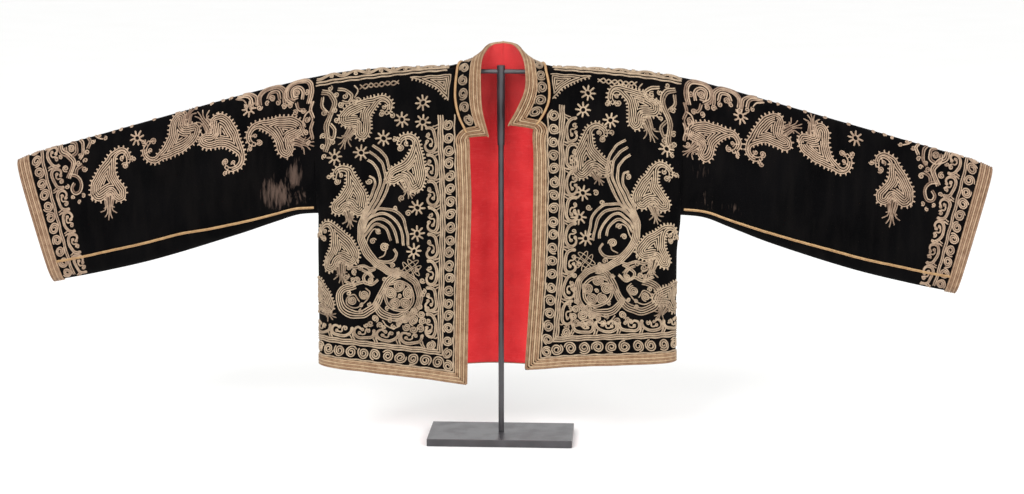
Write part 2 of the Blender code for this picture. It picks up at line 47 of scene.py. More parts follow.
# Form of the cloth, the same values as the solids have
VELVET = 0.0020
LINING_GAP = 0.0011
SHOULDER_GAP = 0.0011
SEAM_LAP = 0.0006
UNDERARM_TUCK = 0.0060
SHOULDER_HEIGHT = 0.557
NECK_POINT = 0.066
SHOULDER_SLOPE = 0.033
ARM_SLOPE = 0.283
SHOULDER_BEND_X = 0.235
SHOULDER_BEND_WIDTH = 0.030
NECK_RISE = 0.034
NECK_RISE_WIDTH = 0.077
FRONT_DEPTH = 0.045
BACK_DEPTH = 0.036
ARM_DEPTH = 0.034
CUFF_DEPTH = 0.017
HEM_FLARE = 0.22
TOP_FOLD_RADIUS = 0.007
SIDE_FOLD_RADIUS = 0.017
CUFF_FOLD_RADIUS = 0.008
FULL_DROP = 0.45
CUFF_DROOP = 0.005
CUFF_DROOP_START = 0.9334
SIDE_LIMIT = 0.9965
UNDERARM = (
    # x, z
    (0.262, 0.339),
    (0.298, 0.336),
    (0.331, 0.325),
    (0.390, 0.304),
    (0.510, 0.2665),
    (0.600, 0.245),
    (0.672, 0.231),
)
SIDES = {
    "left": {
        "sign": -1,
        "armhole": 0.270,
        "side": 0.271,
        "armpit": 0.338,
        "shoulder_seam": (0.008, 0.016),
        "hem": ((0.04, 0.0920), (0.15, 0.1040), (0.27, 0.1115)),
        "cuff": (0.716, 0.668),
        "arm_rise": 0.002,
        "underarm_drop": -0.001,
        "seam_rise": ((0.290, 0.011), (0.360, 0.016), (0.420, 0.022), (0.480, 0.029), (0.680, 0.029)),
        "notch": 0.455,
        "edge": (
            # z, x
            (0.080, 0.0480),
            (0.189, 0.0460),
            (0.278, 0.0440),
            (0.366, 0.0420),
            (0.424, 0.0440),
            (0.455, 0.0455),
            (0.467, 0.0520),
            (0.484, 0.0610),
            (0.508, 0.0670),
            (0.526, 0.0675),
            (0.550, 0.0660),
            (0.580, 0.0640),
        ),
        "collar": (
            # along, x, y, z
            (0.00, 0.0160, -0.0490, 0.4595),
            (0.20, 0.0255, -0.0480, 0.497),
            (0.40, 0.0280, -0.0410, 0.532),
            (0.55, 0.0285, -0.0280, 0.557),
            (0.70, 0.0260, -0.0090, 0.575),
            (0.85, 0.0170, 0.0130, 0.587),
            (1.00, -0.0020, 0.0220, 0.590),
        ),
    },
    "right": {
        "sign": 1,
        "armhole": 0.263,
        "side": 0.258,
        "armpit": 0.340,
        "shoulder_seam": (0.006, 0.011),
        "hem": ((0.04, 0.1165), (0.15, 0.1225), (0.27, 0.1225)),
        "cuff": (0.711, 0.664),
        "arm_rise": 0.000,
        "underarm_drop": 0.0035,
        "seam_rise": ((0.290, 0.011), (0.350, 0.014), (0.420, 0.018), (0.500, 0.021), (0.680, 0.024)),
        "notch": 0.468,
        "edge": (
            # z, x
            (0.100, 0.0370),
            (0.190, 0.0430),
            (0.279, 0.0480),
            (0.367, 0.0500),
            (0.430, 0.0500),
            (0.468, 0.0495),
            (0.479, 0.0590),
            (0.492, 0.0670),
            (0.508, 0.0730),
            (0.529, 0.0730),
            (0.553, 0.0680),
            (0.580, 0.0650),
        ),
        "collar": (
            # along, x, y, z
            (0.00, 0.0140, -0.0490, 0.4755),
            (0.20, 0.0290, -0.0480, 0.503),
            (0.40, 0.0385, -0.0410, 0.530),
            (0.55, 0.0375, -0.0280, 0.556),
            (0.70, 0.0320, -0.0090, 0.575),
            (0.85, 0.0210, 0.0130, 0.587),
            (1.00, 0.0020, 0.0220, 0.590),
        ),
    },
}
BACK_HEM = 0.106
BACK_NECK_DROP = 0.038
NECK_ROUNDNESS = 0.75
COLLAR_FRONT_SHARE = 0.55
COLLAR_BULGE = 0.003
COLLAR_START = 0.0008
COLLAR_CORNER_CLEARANCE = 0.0012

# Couched cord: its width, its height as a share of that, how far a hand-laid line wanders, how far apart
# nested rows and the turns of a coil lie, and the radius of a coil's eye
CORD = 0.0021
CORD_HEIGHT = 0.62
HAND = 0.0005
PITCH = 0.0029
COIL_PITCH = 0.0024
COIL_EYE = 0.0009
PATH_STEP = 0.0010
LONGEST_STEP = 0.0048
SHARPEST_TURN = math.radians(28)

# Edge bands of laid cord, and how much deeper the border over a front's hem is
BRAID_WIDTH = 0.0182
HEM_BRAID_WIDTH = 0.0150
HEM_MORE = 0.0070
CUFF_BRAID_WIDTH = 0.0185
COLLAR_BRAID_WIDTH = 0.0160
BAND_CORDS = 6
BAND_FILL = 0.98
BAND_HEIGHT = 0.50
BAND_LIFT = 0.0006
BAND_TONES = (0.15, 0.75, 0.25, 0.85, 0.3, 0.6)
COLLAR_DARKER = 0.14
RIM_WIDTH = 0.0040
RIM_TONE = 0.45

# Heights of a lining's two faces from the velvet's outer face: close behind it, in the back, in a sleeve
NEAR_LINING = (-VELVET - 0.0003, -VELVET - 0.0011)
BACK_LINING = (-VELVET - LINING_GAP, -VELVET - LINING_GAP - 0.0008)
SLEEVE_LINING = (-0.0026, -0.0033)


def smooth(t):
    t = np.clip(t, 0.0, 1.0)
    return t * t * (3 - 2 * t)


def mix(a, b, t):
    return a + (b - a) * t


def through(rows, x, column=1):
    """A smooth curve through a table's points, read at x."""
    table = np.array(rows, float)
    xs, ys = table[:, 0], table[:, column]
    x = np.asarray(x, float)
    i = np.clip(np.searchsorted(xs, x) - 1, 0, len(xs) - 2)
    before, after = np.maximum(np.arange(len(xs)) - 1, 0), np.minimum(np.arange(len(xs)) + 1, len(xs) - 1)
    slopes = (ys[after] - ys[before]) / (xs[after] - xs[before])
    span = xs[i + 1] - xs[i]
    t = np.clip((x - xs[i]) / span, 0.0, 1.0)
    rise0, rise1 = slopes[i] * span, slopes[i + 1] * span
    return (
        ys[i] * (2 * t**3 - 3 * t**2 + 1)
        + rise0 * (t**3 - 2 * t**2 + t)
        + ys[i + 1] * (3 * t**2 - 2 * t**3)
        + rise1 * (t**3 - t**2)
    )


def bar_line(x):
    """Height of the cloth's top fold where it lies on the bar or an arm."""
    out = np.maximum(x, NECK_POINT) - NECK_POINT
    bend = SHOULDER_BEND_WIDTH * np.log1p(np.exp((x - SHOULDER_BEND_X) / SHOULDER_BEND_WIDTH))
    return SHOULDER_HEIGHT - SHOULDER_SLOPE * out - (ARM_SLOPE - SHOULDER_SLOPE) * bend


def top_line(x):
    return bar_line(x) + NECK_RISE * (1 - smooth(x / NECK_RISE_WIDTH))


def drop_for(q):
    return np.hypot(q, TOP_FOLD_RADIUS) - TOP_FOLD_RADIUS


def along_for(drop):
    return np.sqrt((np.maximum(drop, 0.0) + TOP_FOLD_RADIUS) ** 2 - TOP_FOLD_RADIUS**2)


def turn(distance, radius, depth):
    return 1 - np.exp(-2 * radius * np.maximum(distance, 0.0) / depth**2)


def depth_at(x, drop, front):
    deep = mix(np.where(front, FRONT_DEPTH, BACK_DEPTH), ARM_DEPTH, smooth((x - 0.10) / 0.17))
    deep = mix(deep, CUFF_DEPTH, smooth((x - 0.27) / 0.40) ** 0.8)
    flare = HEM_FLARE * smooth(drop / FULL_DROP) * (1 - smooth((x - 0.25) / 0.05))
    return deep * (1 + flare)


def folds_at(sign, x, drop, front):
    """The soft vertical folds of the body, and finer ones that the solids leave out."""
    grown = smooth((drop - 0.05) / 0.30) * (1 - smooth((x - 0.19) / 0.06))
    broad = 0.0020 * np.cos(2 * np.pi * (x - 0.04) / 0.125)
    behind = 0.0040 * np.cos(2 * np.pi * sign * x / 0.150)
    behind = behind + 0.0018 * np.cos(2 * np.pi * sign * x / 0.083 + 1.1)
    fine = 0.0006 * np.cos(2 * np.pi * (x / 0.047 + 0.9 * drop / 0.3) + sign) * smooth(drop / 0.08)
    pull = 0.0008 * np.cos(2 * np.pi * (drop / 0.055 - x / 0.11))
    pull = pull * smooth((x - 0.17) / 0.06) * smooth(drop / 0.05)
    return grown * np.where(front, broad, behind) + fine + pull * (1 - smooth((drop - 0.16) / 0.12))


def outer_x(side, z):
    return mix(side["armhole"], side["side"], smooth((side["armpit"] - z) / 0.06))


def body_point(side, x, q):
    front = q > 0
    drop = drop_for(q)
    z = top_line(x) - drop
    deep = depth_at(x, drop, front)
    to_side = np.hypot(np.maximum(outer_x(side, z) - x, 0.0), np.maximum(z - side["armpit"], 0.0))
    closing = turn(drop, TOP_FOLD_RADIUS, deep) * turn(to_side, SIDE_FOLD_RADIUS, deep)
    out = (deep + folds_at(side["sign"], x, drop, front)) * np.sqrt(closing)
    return np.stack([side["sign"] * x, np.where(front, -out, out), z], axis=-1)


def body_at(side, a, q):
    """A point of the body by a share a of the half width, 0 in the middle and 1 at the side."""
    x = np.full(np.broadcast(a, q).shape, 0.15)
    for _ in range(4):
        x = outer_x(side, top_line(x) - drop_for(q)) * np.sin(np.pi / 2 * a)
    return body_point(side, x, q)


def sleeve_at(side, along, around):
    """A point of a sleeve: from the armhole (0) to the cuff (1), and around from the top fold."""
    around = np.asarray(around) % 1.0
    top_x = mix(side["armhole"], side["cuff"][0], along)
    low_x = mix(side["armhole"], side["cuff"][1], along)
    top_z = bar_line(top_x) + side["arm_rise"] * smooth(along / 0.3)
    top_z = top_z - CUFF_DROOP * np.maximum(0.0, (along - CUFF_DROOP_START) / (1 - CUFF_DROOP_START))
    low_z = through(UNDERARM, low_x) - side["underarm_drop"] * smooth(along / 0.4)
    low_z = low_z + (side["armpit"] - through(UNDERARM, side["armhole"])) * (1 - smooth(along / 0.2))
    share = (1 - np.cos(2 * np.pi * around)) / 2
    length = np.hypot(top_x - low_x, top_z - low_z)
    front = around < 0.5
    x, z = mix(top_x, low_x, share), mix(top_z, low_z, share)
    deep = depth_at(x, share * length, front)
    under = mix(SIDE_FOLD_RADIUS, CUFF_FOLD_RADIUS, smooth(along / 0.5))
    closing = turn(share * length, TOP_FOLD_RADIUS, deep) * turn((1 - share) * length, under, deep)
    drag = np.cos(2 * np.pi * (2.6 * share + 3.2 * along)) * np.exp(-along / 0.30) * smooth(along / 0.08)
    slack = np.cos(2 * np.pi * (4.0 * along - 0.7 * share)) * smooth(along / 0.2) * smooth((1 - along) / 0.2)
    creases = (0.0024 * drag + 0.0014 * slack) * smooth(share / 0.3) * smooth((1 - share) / 0.15)
    puckers = 0.0007 * np.cos(2 * np.pi * along * 19 + 2.0 * np.sin(9 * share)) * smooth((share - 0.62) / 0.3)
    out = deep * np.sqrt(closing) + creases + puckers * np.sqrt(closing)
    return np.stack([side["sign"] * x, np.where(front, -out, out), z], axis=-1)


def edge_x(side, q):
    x = np.full(np.shape(q), 0.06)
    for _ in range(4):
        x = through(side["edge"], top_line(x) - drop_for(q))
    return x


def notch_at(side):
    x = through(side["edge"], side["notch"])
    return along_for(top_line(x) - side["notch"])


def seam_at(side, x):
    return mix(*side["shoulder_seam"], smooth((x - NECK_POINT) / 0.15))


def hem_at(side, x):
    """How far down the cloth a front's hem lies."""
    return along_for(top_line(x) - through(side["hem"], x))


def back_hem_at(side, x):
    return along_for(top_line(x) - mix(BACK_HEM, side["hem"][2][1], smooth((x - 0.08) / 0.19)))


def back_start_at(side, x):
    """Where the back's top edge lies: the shoulder seam, and behind the neck its neckline."""
    seam = seam_at(side, x) - SHOULDER_GAP
    behind = np.maximum(0.0, 1 - (x / edge_x(side, seam)) ** 2) ** NECK_ROUNDNESS
    return mix(seam, -along_for(BACK_NECK_DROP), behind)


def neckline(side, along):
    seam = side["shoulder_seam"][0]
    forward = mix(notch_at(side), seam, along / COLLAR_FRONT_SHARE)
    angle = np.clip((along - COLLAR_FRONT_SHARE) / (1 - COLLAR_FRONT_SHARE), 0, 1) * np.pi / 2
    behind = mix(seam, -along_for(BACK_NECK_DROP), np.sin(angle) ** (2 * NECK_ROUNDNESS))
    in_front = along < COLLAR_FRONT_SHARE
    q = np.where(in_front, forward, behind)
    x = np.where(in_front, edge_x(side, q), edge_x(side, seam) * np.cos(angle))
    return body_point(side, x, q)


def collar_at(side, along, up):
    rows = side["collar"]
    x, y, z = (through(rows, along, column) for column in (1, 2, 3))
    edge = np.stack([side["sign"] * x, y, z], -1)
    seam = neckline(side, along)
    rise = edge - seam
    clearance = COLLAR_START + COLLAR_CORNER_CLEARANCE * np.exp(-(((along - 0.60) / 0.13) ** 2))
    start = seam + rise / np.linalg.norm(rise, axis=-1, keepdims=True) * clearance[..., None]
    behind = smooth((along - 0.45) / 0.5)
    sideways = side["sign"] * 0.35 * (1 - behind)
    outwards = np.stack([sideways, -1.0 + 1.8 * behind, np.full(behind.shape, 0.3)], -1)
    bulge = COLLAR_BULGE * np.sin(np.pi * np.clip(up, 0.0, 1.0))
    return mix(start, edge, up[..., None]) + outwards * bulge[..., None]


class Sheet:
    """A grid of points of a cloth face with even steps in two ways, u outwards and v up, in metres.
    It turns a place on the cloth, given by those two, into a point at a height over the face."""

    def __init__(self, grid, us, vs, flip):
        self.grid, self.us, self.vs = grid, us, vs
        along_u = np.gradient(grid, axis=0)
        along_v = np.gradient(grid, axis=1)
        normal = np.cross(along_u, along_v) * flip
        size = np.linalg.norm(normal, axis=-1, keepdims=True)
        self.normal = normal / np.maximum(size, 1e-12)

    def read(self, field, places):
        places = np.asarray(places, float)
        s = (places[..., 0] - self.us[0]) / (self.us[1] - self.us[0])
        t = (places[..., 1] - self.vs[0]) / (self.vs[1] - self.vs[0])
        s = np.clip(s, 0, len(self.us) - 1.001)
        t = np.clip(t, 0, len(self.vs) - 1.001)
        i, j = s.astype(int), t.astype(int)
        s, t = (s - i)[..., None], (t - j)[..., None]
        low = mix(field[i, j], field[i + 1, j], s)
        high = mix(field[i, j + 1], field[i + 1, j + 1], s)
        return mix(low, high, t)

    def points(self, places, lift=0.0):
        """Points and normals over places. lift may differ from place to place."""
        normal = self.read(self.normal, places)
        normal /= np.maximum(np.linalg.norm(normal, axis=-1, keepdims=True), 1e-9)
        lift = np.asarray(lift, float)
        return self.read(self.grid, places) + normal * (lift[..., None] if lift.ndim else lift), normal

    def find(self, x, z, front=True):
        """The place on the front or back half whose point is seen at x, z from straight ahead."""
        away = np.hypot(np.abs(self.grid[..., 0]) - x, self.grid[..., 2] - z)
        away = np.where((self.grid[..., 1] < 0) == front, away, 9.0)
        i, j = np.unravel_index(np.argmin(away), away.shape)
        return np.array([self.us[i], self.vs[j]])


def even(rows_of_points, distances, steps):
    """Resamples each row of points to even steps of the distances along it."""
    made = np.empty((len(rows_of_points), len(steps), 3))
    for k, (points, distance) in enumerate(zip(rows_of_points, distances)):
        for axis in range(3):
            made[k, :, axis] = np.interp(steps, distance, points[:, axis])
    return made


def body_sheet(side):
    """u is the way out from the middle, unrolled from x = 0.15, and v is minus the way q down."""
    a = np.linspace(0.0, SIDE_LIMIT, 150)
    qs = np.arange(-0.5112, 0.4801, 0.0024)
    raw = body_at(side, a[None, :], qs[:, None])
    steps = np.linalg.norm(np.diff(raw, axis=1), axis=-1)
    way = np.concatenate([np.zeros((len(qs), 1)), np.cumsum(steps, axis=1)], axis=1)
    out = np.abs(raw[..., 0])
    for k in range(len(qs)):
        way[k] += 0.15 - np.interp(0.15, out[k], way[k])
    us = np.arange(-0.012, 0.330, 0.002)
    grid = even(raw, way, us)
    made = Sheet(grid.transpose(1, 0, 2)[:, ::-1], us, -qs[::-1], side["sign"])
    made.reach = way[::-1, -1]
    made.start = way[::-1, 0]
    return made


def from_armhole(side, points):
    """Keeps a sleeve's points out of the body, but for a small lap."""
    points[..., 0] = side["sign"] * np.maximum(np.abs(points[..., 0]), side["armhole"] - SEAM_LAP)


def sleeve_sheet(side):
    """u is the way along the sleeve from the armhole, and v the way round from its top fold."""
    along = np.linspace(0.0, 1.0, 150)
    around = np.linspace(-0.5, 0.5, 201)
    raw = sleeve_at(side, along[:, None], around[None, :])
    from_armhole(side, raw)
    steps = np.linalg.norm(np.diff(raw, axis=1), axis=-1)
    way = np.concatenate([np.zeros((len(along), 1)), np.cumsum(steps, axis=1)], axis=1)
    way -= way[:, 100:101]
    vs = np.arange(-0.240, 0.2401, 0.002)
    fall = bar_line(side["armhole"]) - bar_line(side["cuff"][0])
    length = math.hypot(side["cuff"][0] - side["armhole"], fall)
    grid = even(raw, way, vs)
    made = Sheet(grid[:, ::-1], along * length, vs, side["sign"])
    made.length = length
    made.half = way[:, -1]
    return made


def collar_sheet(side):
    """u is the way along the collar from its tip, and v the way up from the seam."""
    along = np.linspace(0.0, 1.0, 120)
    up = np.linspace(0.0, 1.0, 20)
    raw = collar_at(side, along[:, None] + 0 * up[None, :], up[None, :] + 0 * along[:, None])
    middle = raw[:, 10]
    way = np.concatenate([[0.0], np.cumsum(np.linalg.norm(np.diff(middle, axis=0), axis=-1))])
    us = np.linspace(0.0, way[-1], 120)
    grid = np.empty_like(raw)
    for j in range(len(up)):
        for axis in range(3):
            grid[:, j, axis] = np.interp(us, way, raw[:, j, axis])
    width = float(np.linalg.norm(raw[60, -1] - raw[60, 0]))
    made = Sheet(grid, us, up * width, side["sign"])
    made.length = way[-1]
    return made


def mesh_object(name, points, quads, uvs=None, tones=None):
    mesh = bpy.data.meshes.new(name)
    mesh.from_pydata(np.asarray(points).tolist(), [], np.asarray(quads).tolist())
    if uvs is not None:
        layer = mesh.uv_layers.new(name="cloth")
        layer.data.foreach_set("uv", np.asarray(uvs)[np.asarray(quads).ravel()].astype(np.float32).ravel())
    if tones is not None:
        values = mesh.attributes.new("tone", "FLOAT", "POINT")
        values.data.foreach_set("value", np.asarray(tones, np.float32))
    mesh.shade_smooth()
    made = bpy.data.objects.new(name, mesh)
    bpy.context.scene.collection.objects.link(made)
    return made


def shell(name, outer, inner, uvs, tones=None, ring=False):
    """A thin closed wall between two grids of points."""
    rows, columns = outer.shape[:2]
    inside = rows * columns
    index = np.arange(inside).reshape(rows, columns)
    if ring:
        index = np.concatenate([index, index[:, :1]], axis=1)
    a, b, c, d = index[:-1, :-1], index[:-1, 1:], index[1:, 1:], index[1:, :-1]
    face = np.stack([a, b, c, d], axis=-1).reshape(-1, 4)
    borders = [(index[0, :-1], index[0, 1:]), (index[-1, 1:], index[-1, :-1])]
    if not ring:
        borders += [(index[1:, 0], index[:-1, 0]), (index[:-1, -1], index[1:, -1])]
    rims = [np.stack([e, s, s + inside, e + inside], axis=-1) for s, e in borders]
    quads = np.concatenate([face, face[:, ::-1] + inside] + rims)
    middle = outer[rows // 2, columns // 2] - inner[rows // 2, columns // 2]
    i, j = rows // 2, columns // 2
    turned = np.cross(outer[i, j + 1] - outer[i, j], outer[i + 1, j] - outer[i, j])
    if turned @ middle < 0:
        quads = quads[:, ::-1]
    points = np.concatenate([outer.reshape(-1, 3), inner.reshape(-1, 3)])
    uvs = np.concatenate([uvs.reshape(-1, 2)] * 2)
    if tones is not None:
        tones = np.concatenate([tones.ravel()] * 2)
    return mesh_object(name, points, quads, uvs, tones)


def flow(points):
    """A smooth path through points."""
    p = np.asarray(points, float)
    if len(p) == 2:
        p = np.array([p[0], (p[0] + p[1]) / 2, p[1]])
    ends = np.concatenate([[2 * p[0] - p[1]], p, [2 * p[-1] - p[-2]]])
    parts = []
    for i in range(1, len(ends) - 2):
        a, b, c, d = ends[i - 1 : i + 3]
        count = max(2, int(np.linalg.norm(c - b) / PATH_STEP))
        t = np.linspace(0, 1, count, endpoint=False)[:, None]
        parts.append(
            0.5 * (2 * b + (c - a) * t + (2 * a - 5 * b + 4 * c - d) * t**2 + (3 * b - a - 3 * c + d) * t**3)
        )
    parts.append(p[-1:])
    return np.concatenate(parts)


def thinned(path):
    """Fewer points on a path, close together only where it bends."""
    step = np.diff(path, axis=0)
    length = np.linalg.norm(step, axis=1)
    keep = np.concatenate([[True], length > 1e-7])
    path, step = path[keep], step[length > 1e-7]
    if len(path) < 3:
        return path
    heading = np.unwrap(np.arctan2(step[:, 1], step[:, 0]))
    bend = np.abs(np.diff(heading, append=heading[-1]))
    cost = np.linalg.norm(step, axis=1) / LONGEST_STEP + bend / SHARPEST_TURN
    way = np.concatenate([[0.0], np.cumsum(cost)])
    wanted = np.linspace(0, way[-1], max(3, int(math.ceil(way[-1])) + 1))
    return np.stack([np.interp(wanted, way, path[:, k]) for k in range(2)], axis=-1)


def beside(path, away):
    """The path moved to its left by a distance, which may change along it."""
    ahead = np.gradient(path, axis=0)
    ahead /= np.maximum(np.linalg.norm(ahead, axis=1, keepdims=True), 1e-9)
    left = np.stack([-ahead[:, 1], ahead[:, 0]], axis=-1)
    return path + left * (np.asarray(away)[..., None] if np.ndim(away) else away)


def spiral(centre, radius, turns, start, way, eye=COIL_EYE):
    """A coil from its outside at the angle start to its eye."""
    t = np.linspace(0, 1, int(26 * turns) + 4)
    r = mix(radius - CORD / 2, eye, t)
    angle = start + way * t * turns * 2 * np.pi
    return np.asarray(centre) + np.stack([np.cos(angle), np.sin(angle)], axis=-1) * r[:, None]


PROFILE = np.array(
    [
        # across, up
        (-1.00, -0.25),
        (-0.62, 0.72),
        (0.00, 1.00),
        (0.62, 0.72),
        (1.00, -0.25),
    ]
)


class Cords:
    """Cords that are swept over cloth faces and end up in one mesh."""

    def __init__(self):
        self.points, self.quads, self.uvs, self.tones = [], [], [], []
        self.count = 0

    def sweep(self, centre, normal, width, height, tone, start):
        """A half round cord along centre. Without a tone it gets one at random."""
        ahead = np.gradient(centre, axis=0)
        ahead /= np.maximum(np.linalg.norm(ahead, axis=1, keepdims=True), 1e-9)
        across = np.cross(normal, ahead)
        across /= np.maximum(np.linalg.norm(across, axis=1, keepdims=True), 1e-9)
        round_off = 0.42 * width
        first, last = centre[:1] - ahead[:1] * round_off, centre[-1:] + ahead[-1:] * round_off
        centre = np.concatenate([first, centre, last])
        normal = np.concatenate([normal[:1], normal, normal[-1:]])
        across = np.concatenate([across[:1], across, across[-1:]])
        size = np.full(len(centre), width / 2)
        rise = np.full(len(centre), width * height)
        size[[0, -1]] *= 0.45
        rise[[0, -1]] *= 0.35
        rings = (
            centre[:, None]
            + across[:, None] * (PROFILE[None, :, :1] * size[:, None, None])
            + normal[:, None] * (PROFILE[None, :, 1:] * rise[:, None, None])
        )
        n, m = rings.shape[:2]
        index = np.arange(n * m).reshape(n, m) + self.count
        quads = np.stack([index[:-1, :-1], index[:-1, 1:], index[1:, 1:], index[1:, :-1]], axis=-1)
        way = np.concatenate([[0.0], np.cumsum(np.linalg.norm(np.diff(centre, axis=0), axis=1))]) + start
        uv = np.empty((n, m, 2))
        uv[..., 0] = way[:, None]
        uv[..., 1] = np.linspace(0, width, m)[None, :]
        self.points.append(rings.reshape(-1, 3))
        self.quads.append(quads.reshape(-1, 4))
        self.uvs.append(uv.reshape(-1, 2))
        self.tones.append(np.full(n * m, random.random() if tone is None else tone))
        self.count += n * m

    def made(self, name):
        parts = (self.points, self.quads, self.uvs, self.tones)
        return mesh_object(name, *(np.concatenate(part) for part in parts))


class Design:
    """Cords drawn on a sheet, as paths of places on the cloth. Places outside the panel are left out."""

    def __init__(self, sheet, inside, cords, tooth=0.0050):
        self.sheet, self.inside, self.cords, self.tooth = sheet, inside, cords, tooth

    def draw(self, path, width=CORD, tone=None):
        path = np.asarray(path, float)
        kept = self.inside(path)
        path = path + HAND * np.sin(path[:, ::-1] * (240.0, 270.0) + 1.7 * np.sin(path * (150.0, 130.0)))
        edges = np.flatnonzero(np.diff(np.concatenate([[False], kept, [False]]).astype(int)))
        for first, last in zip(edges[::2], edges[1::2]):
            if last - first > 2:
                run = thinned(path[first:last])
                points, normal = self.sheet.points(run)
                self.cords.sweep(points, normal, width, CORD_HEIGHT, tone, random.random())

    def coil(self, centre, radius, tone=None, way=1):
        turns = max(1.15, (radius - CORD / 2 - COIL_EYE) / COIL_PITCH)
        start = random.uniform(0, 2 * math.pi)
        tone = random.uniform(0.4, 0.8) if tone is None else tone
        self.draw(spiral(centre, radius, turns, start, way), CORD, tone)

    def ribbon(self, points, count, pinch=(1.0, 1.0), pitch=PITCH, tone=None, width=CORD):
        """Cords side by side along one path. pinch draws them together at its start and end."""
        path = flow(points)
        share = np.linspace(0, 1, len(path))
        opening = mix(pinch[0], 1.0, smooth(share * 2))
        closing = mix(1.0, pinch[1], smooth(share * 2 - 1))
        gap = np.where(share < 0.5, opening, closing)
        for k in range(count):
            self.draw(beside(path, (k - (count - 1) / 2) * pitch * gap), width, tone)

    def filled(self, outline, teeth=(), tone=None):
        """Cord laid round and round inside a closed outline, with teeth along lines of it."""
        outline = evened(np.concatenate([outline, outline[:1]]), 0.0009)[:-1]
        ahead = np.roll(outline, -1, axis=0) - np.roll(outline, 1, axis=0)
        ahead /= np.linalg.norm(ahead, axis=1, keepdims=True)
        x, y = outline[:, 0], outline[:, 1]
        area = np.sum(x * np.roll(y, -1) - np.roll(x, -1) * y)
        inward = np.stack([-ahead[:, 1], ahead[:, 0]], axis=-1) * np.sign(area)
        self.draw(np.concatenate([outline, outline[:2]]), tone=tone)
        for k in range(1, 30):
            away = k * PITCH
            moved = outline + inward * away
            gap = np.min(np.linalg.norm(moved[:, None] - outline[None], axis=-1), axis=1)
            good = gap > away - 0.0004
            if not good.any():
                break
            if good.all():
                self.draw(np.concatenate([moved, moved[:2]]), tone=tone)
                continue
            shift = int(np.argmin(good))
            good, moved = np.roll(good, -shift), np.roll(moved, -shift, axis=0)
            edges = np.flatnonzero(np.diff(np.concatenate([[False], good, [False]]).astype(int)))
            for first, last in zip(edges[::2], edges[1::2]):
                if last - first > 4:
                    self.draw(moved[first:last], tone=tone)
        for line in teeth:
            line = evened(line, self.tooth)
            nearest = np.argmin(np.linalg.norm(line[:, None] - outline[None], axis=-1), axis=1)
            for point, away in zip(line, -inward[nearest]):
                self.draw(np.linspace(point + away * 0.0008, point + away * 0.0030, 4), CORD * 1.35, tone)


def evened(path, step):
    """The path with points at even steps."""
    way = np.concatenate([[0.0], np.cumsum(np.linalg.norm(np.diff(path, axis=0), axis=1))])
    wanted = np.linspace(0, way[-1], max(3, int(way[-1] / step) + 1))
    return np.stack([np.interp(wanted, way, path[:, k]) for k in range(path.shape[1])], axis=-1)


PINE_WIDTHS = (
    # way from the base (0) to the neck (1) and round the hook (2), then the half widths as shares of the
    # greatest one, on the full side and on the hollow side
    (0.00, 0.96, 0.96),
    (0.14, 1.02, 0.92),
    (0.30, 0.96, 0.74),
    (0.48, 0.80, 0.52),
    (0.66, 0.60, 0.35),
    (0.84, 0.40, 0.24),
    (1.00, 0.25, 0.19),
    (1.25, 0.15, 0.14),
    (1.60, 0.12, 0.11),
    (2.00, 0.08, 0.08),
)
PINE_BASE = (
    # to the full side as a share of the half width, up as a share of the length
    (-0.94, -0.04),
    (-0.78, -0.12),
    (-0.52, -0.14),
    (-0.28, -0.07),
    (-0.06, 0.06),
    (0.22, -0.06),
    (0.50, -0.16),
    (0.78, -0.14),
    (0.94, -0.04),
)
PINE_COILS = (
    # way round the hook, out from the tail, ahead of it, radius
    (1.00, -0.0030, 0.0050, 0.0058),
    (0.88, 0.0080, 0.0015, 0.0048),
    (0.60, -0.0096, 0.0000, 0.0047),
)
PINE_ROOT = (
    # spread, share of the reach
    (-0.34, 0.74),
    (-0.16, 0.92),
    (-0.02, 1.00),
    (0.14, 0.90),
    (0.34, 0.72),
    (0.20, 0.56),
    (-0.22, 0.52),
)
NECK_SHARE = 0.82
HOOK_SWEEP = math.radians(198)
HOOK_SIZE = 0.265
STAR_SIZE = 0.0118
KNOT_SIZE = 0.0145
KNOT_TILT = 0.25


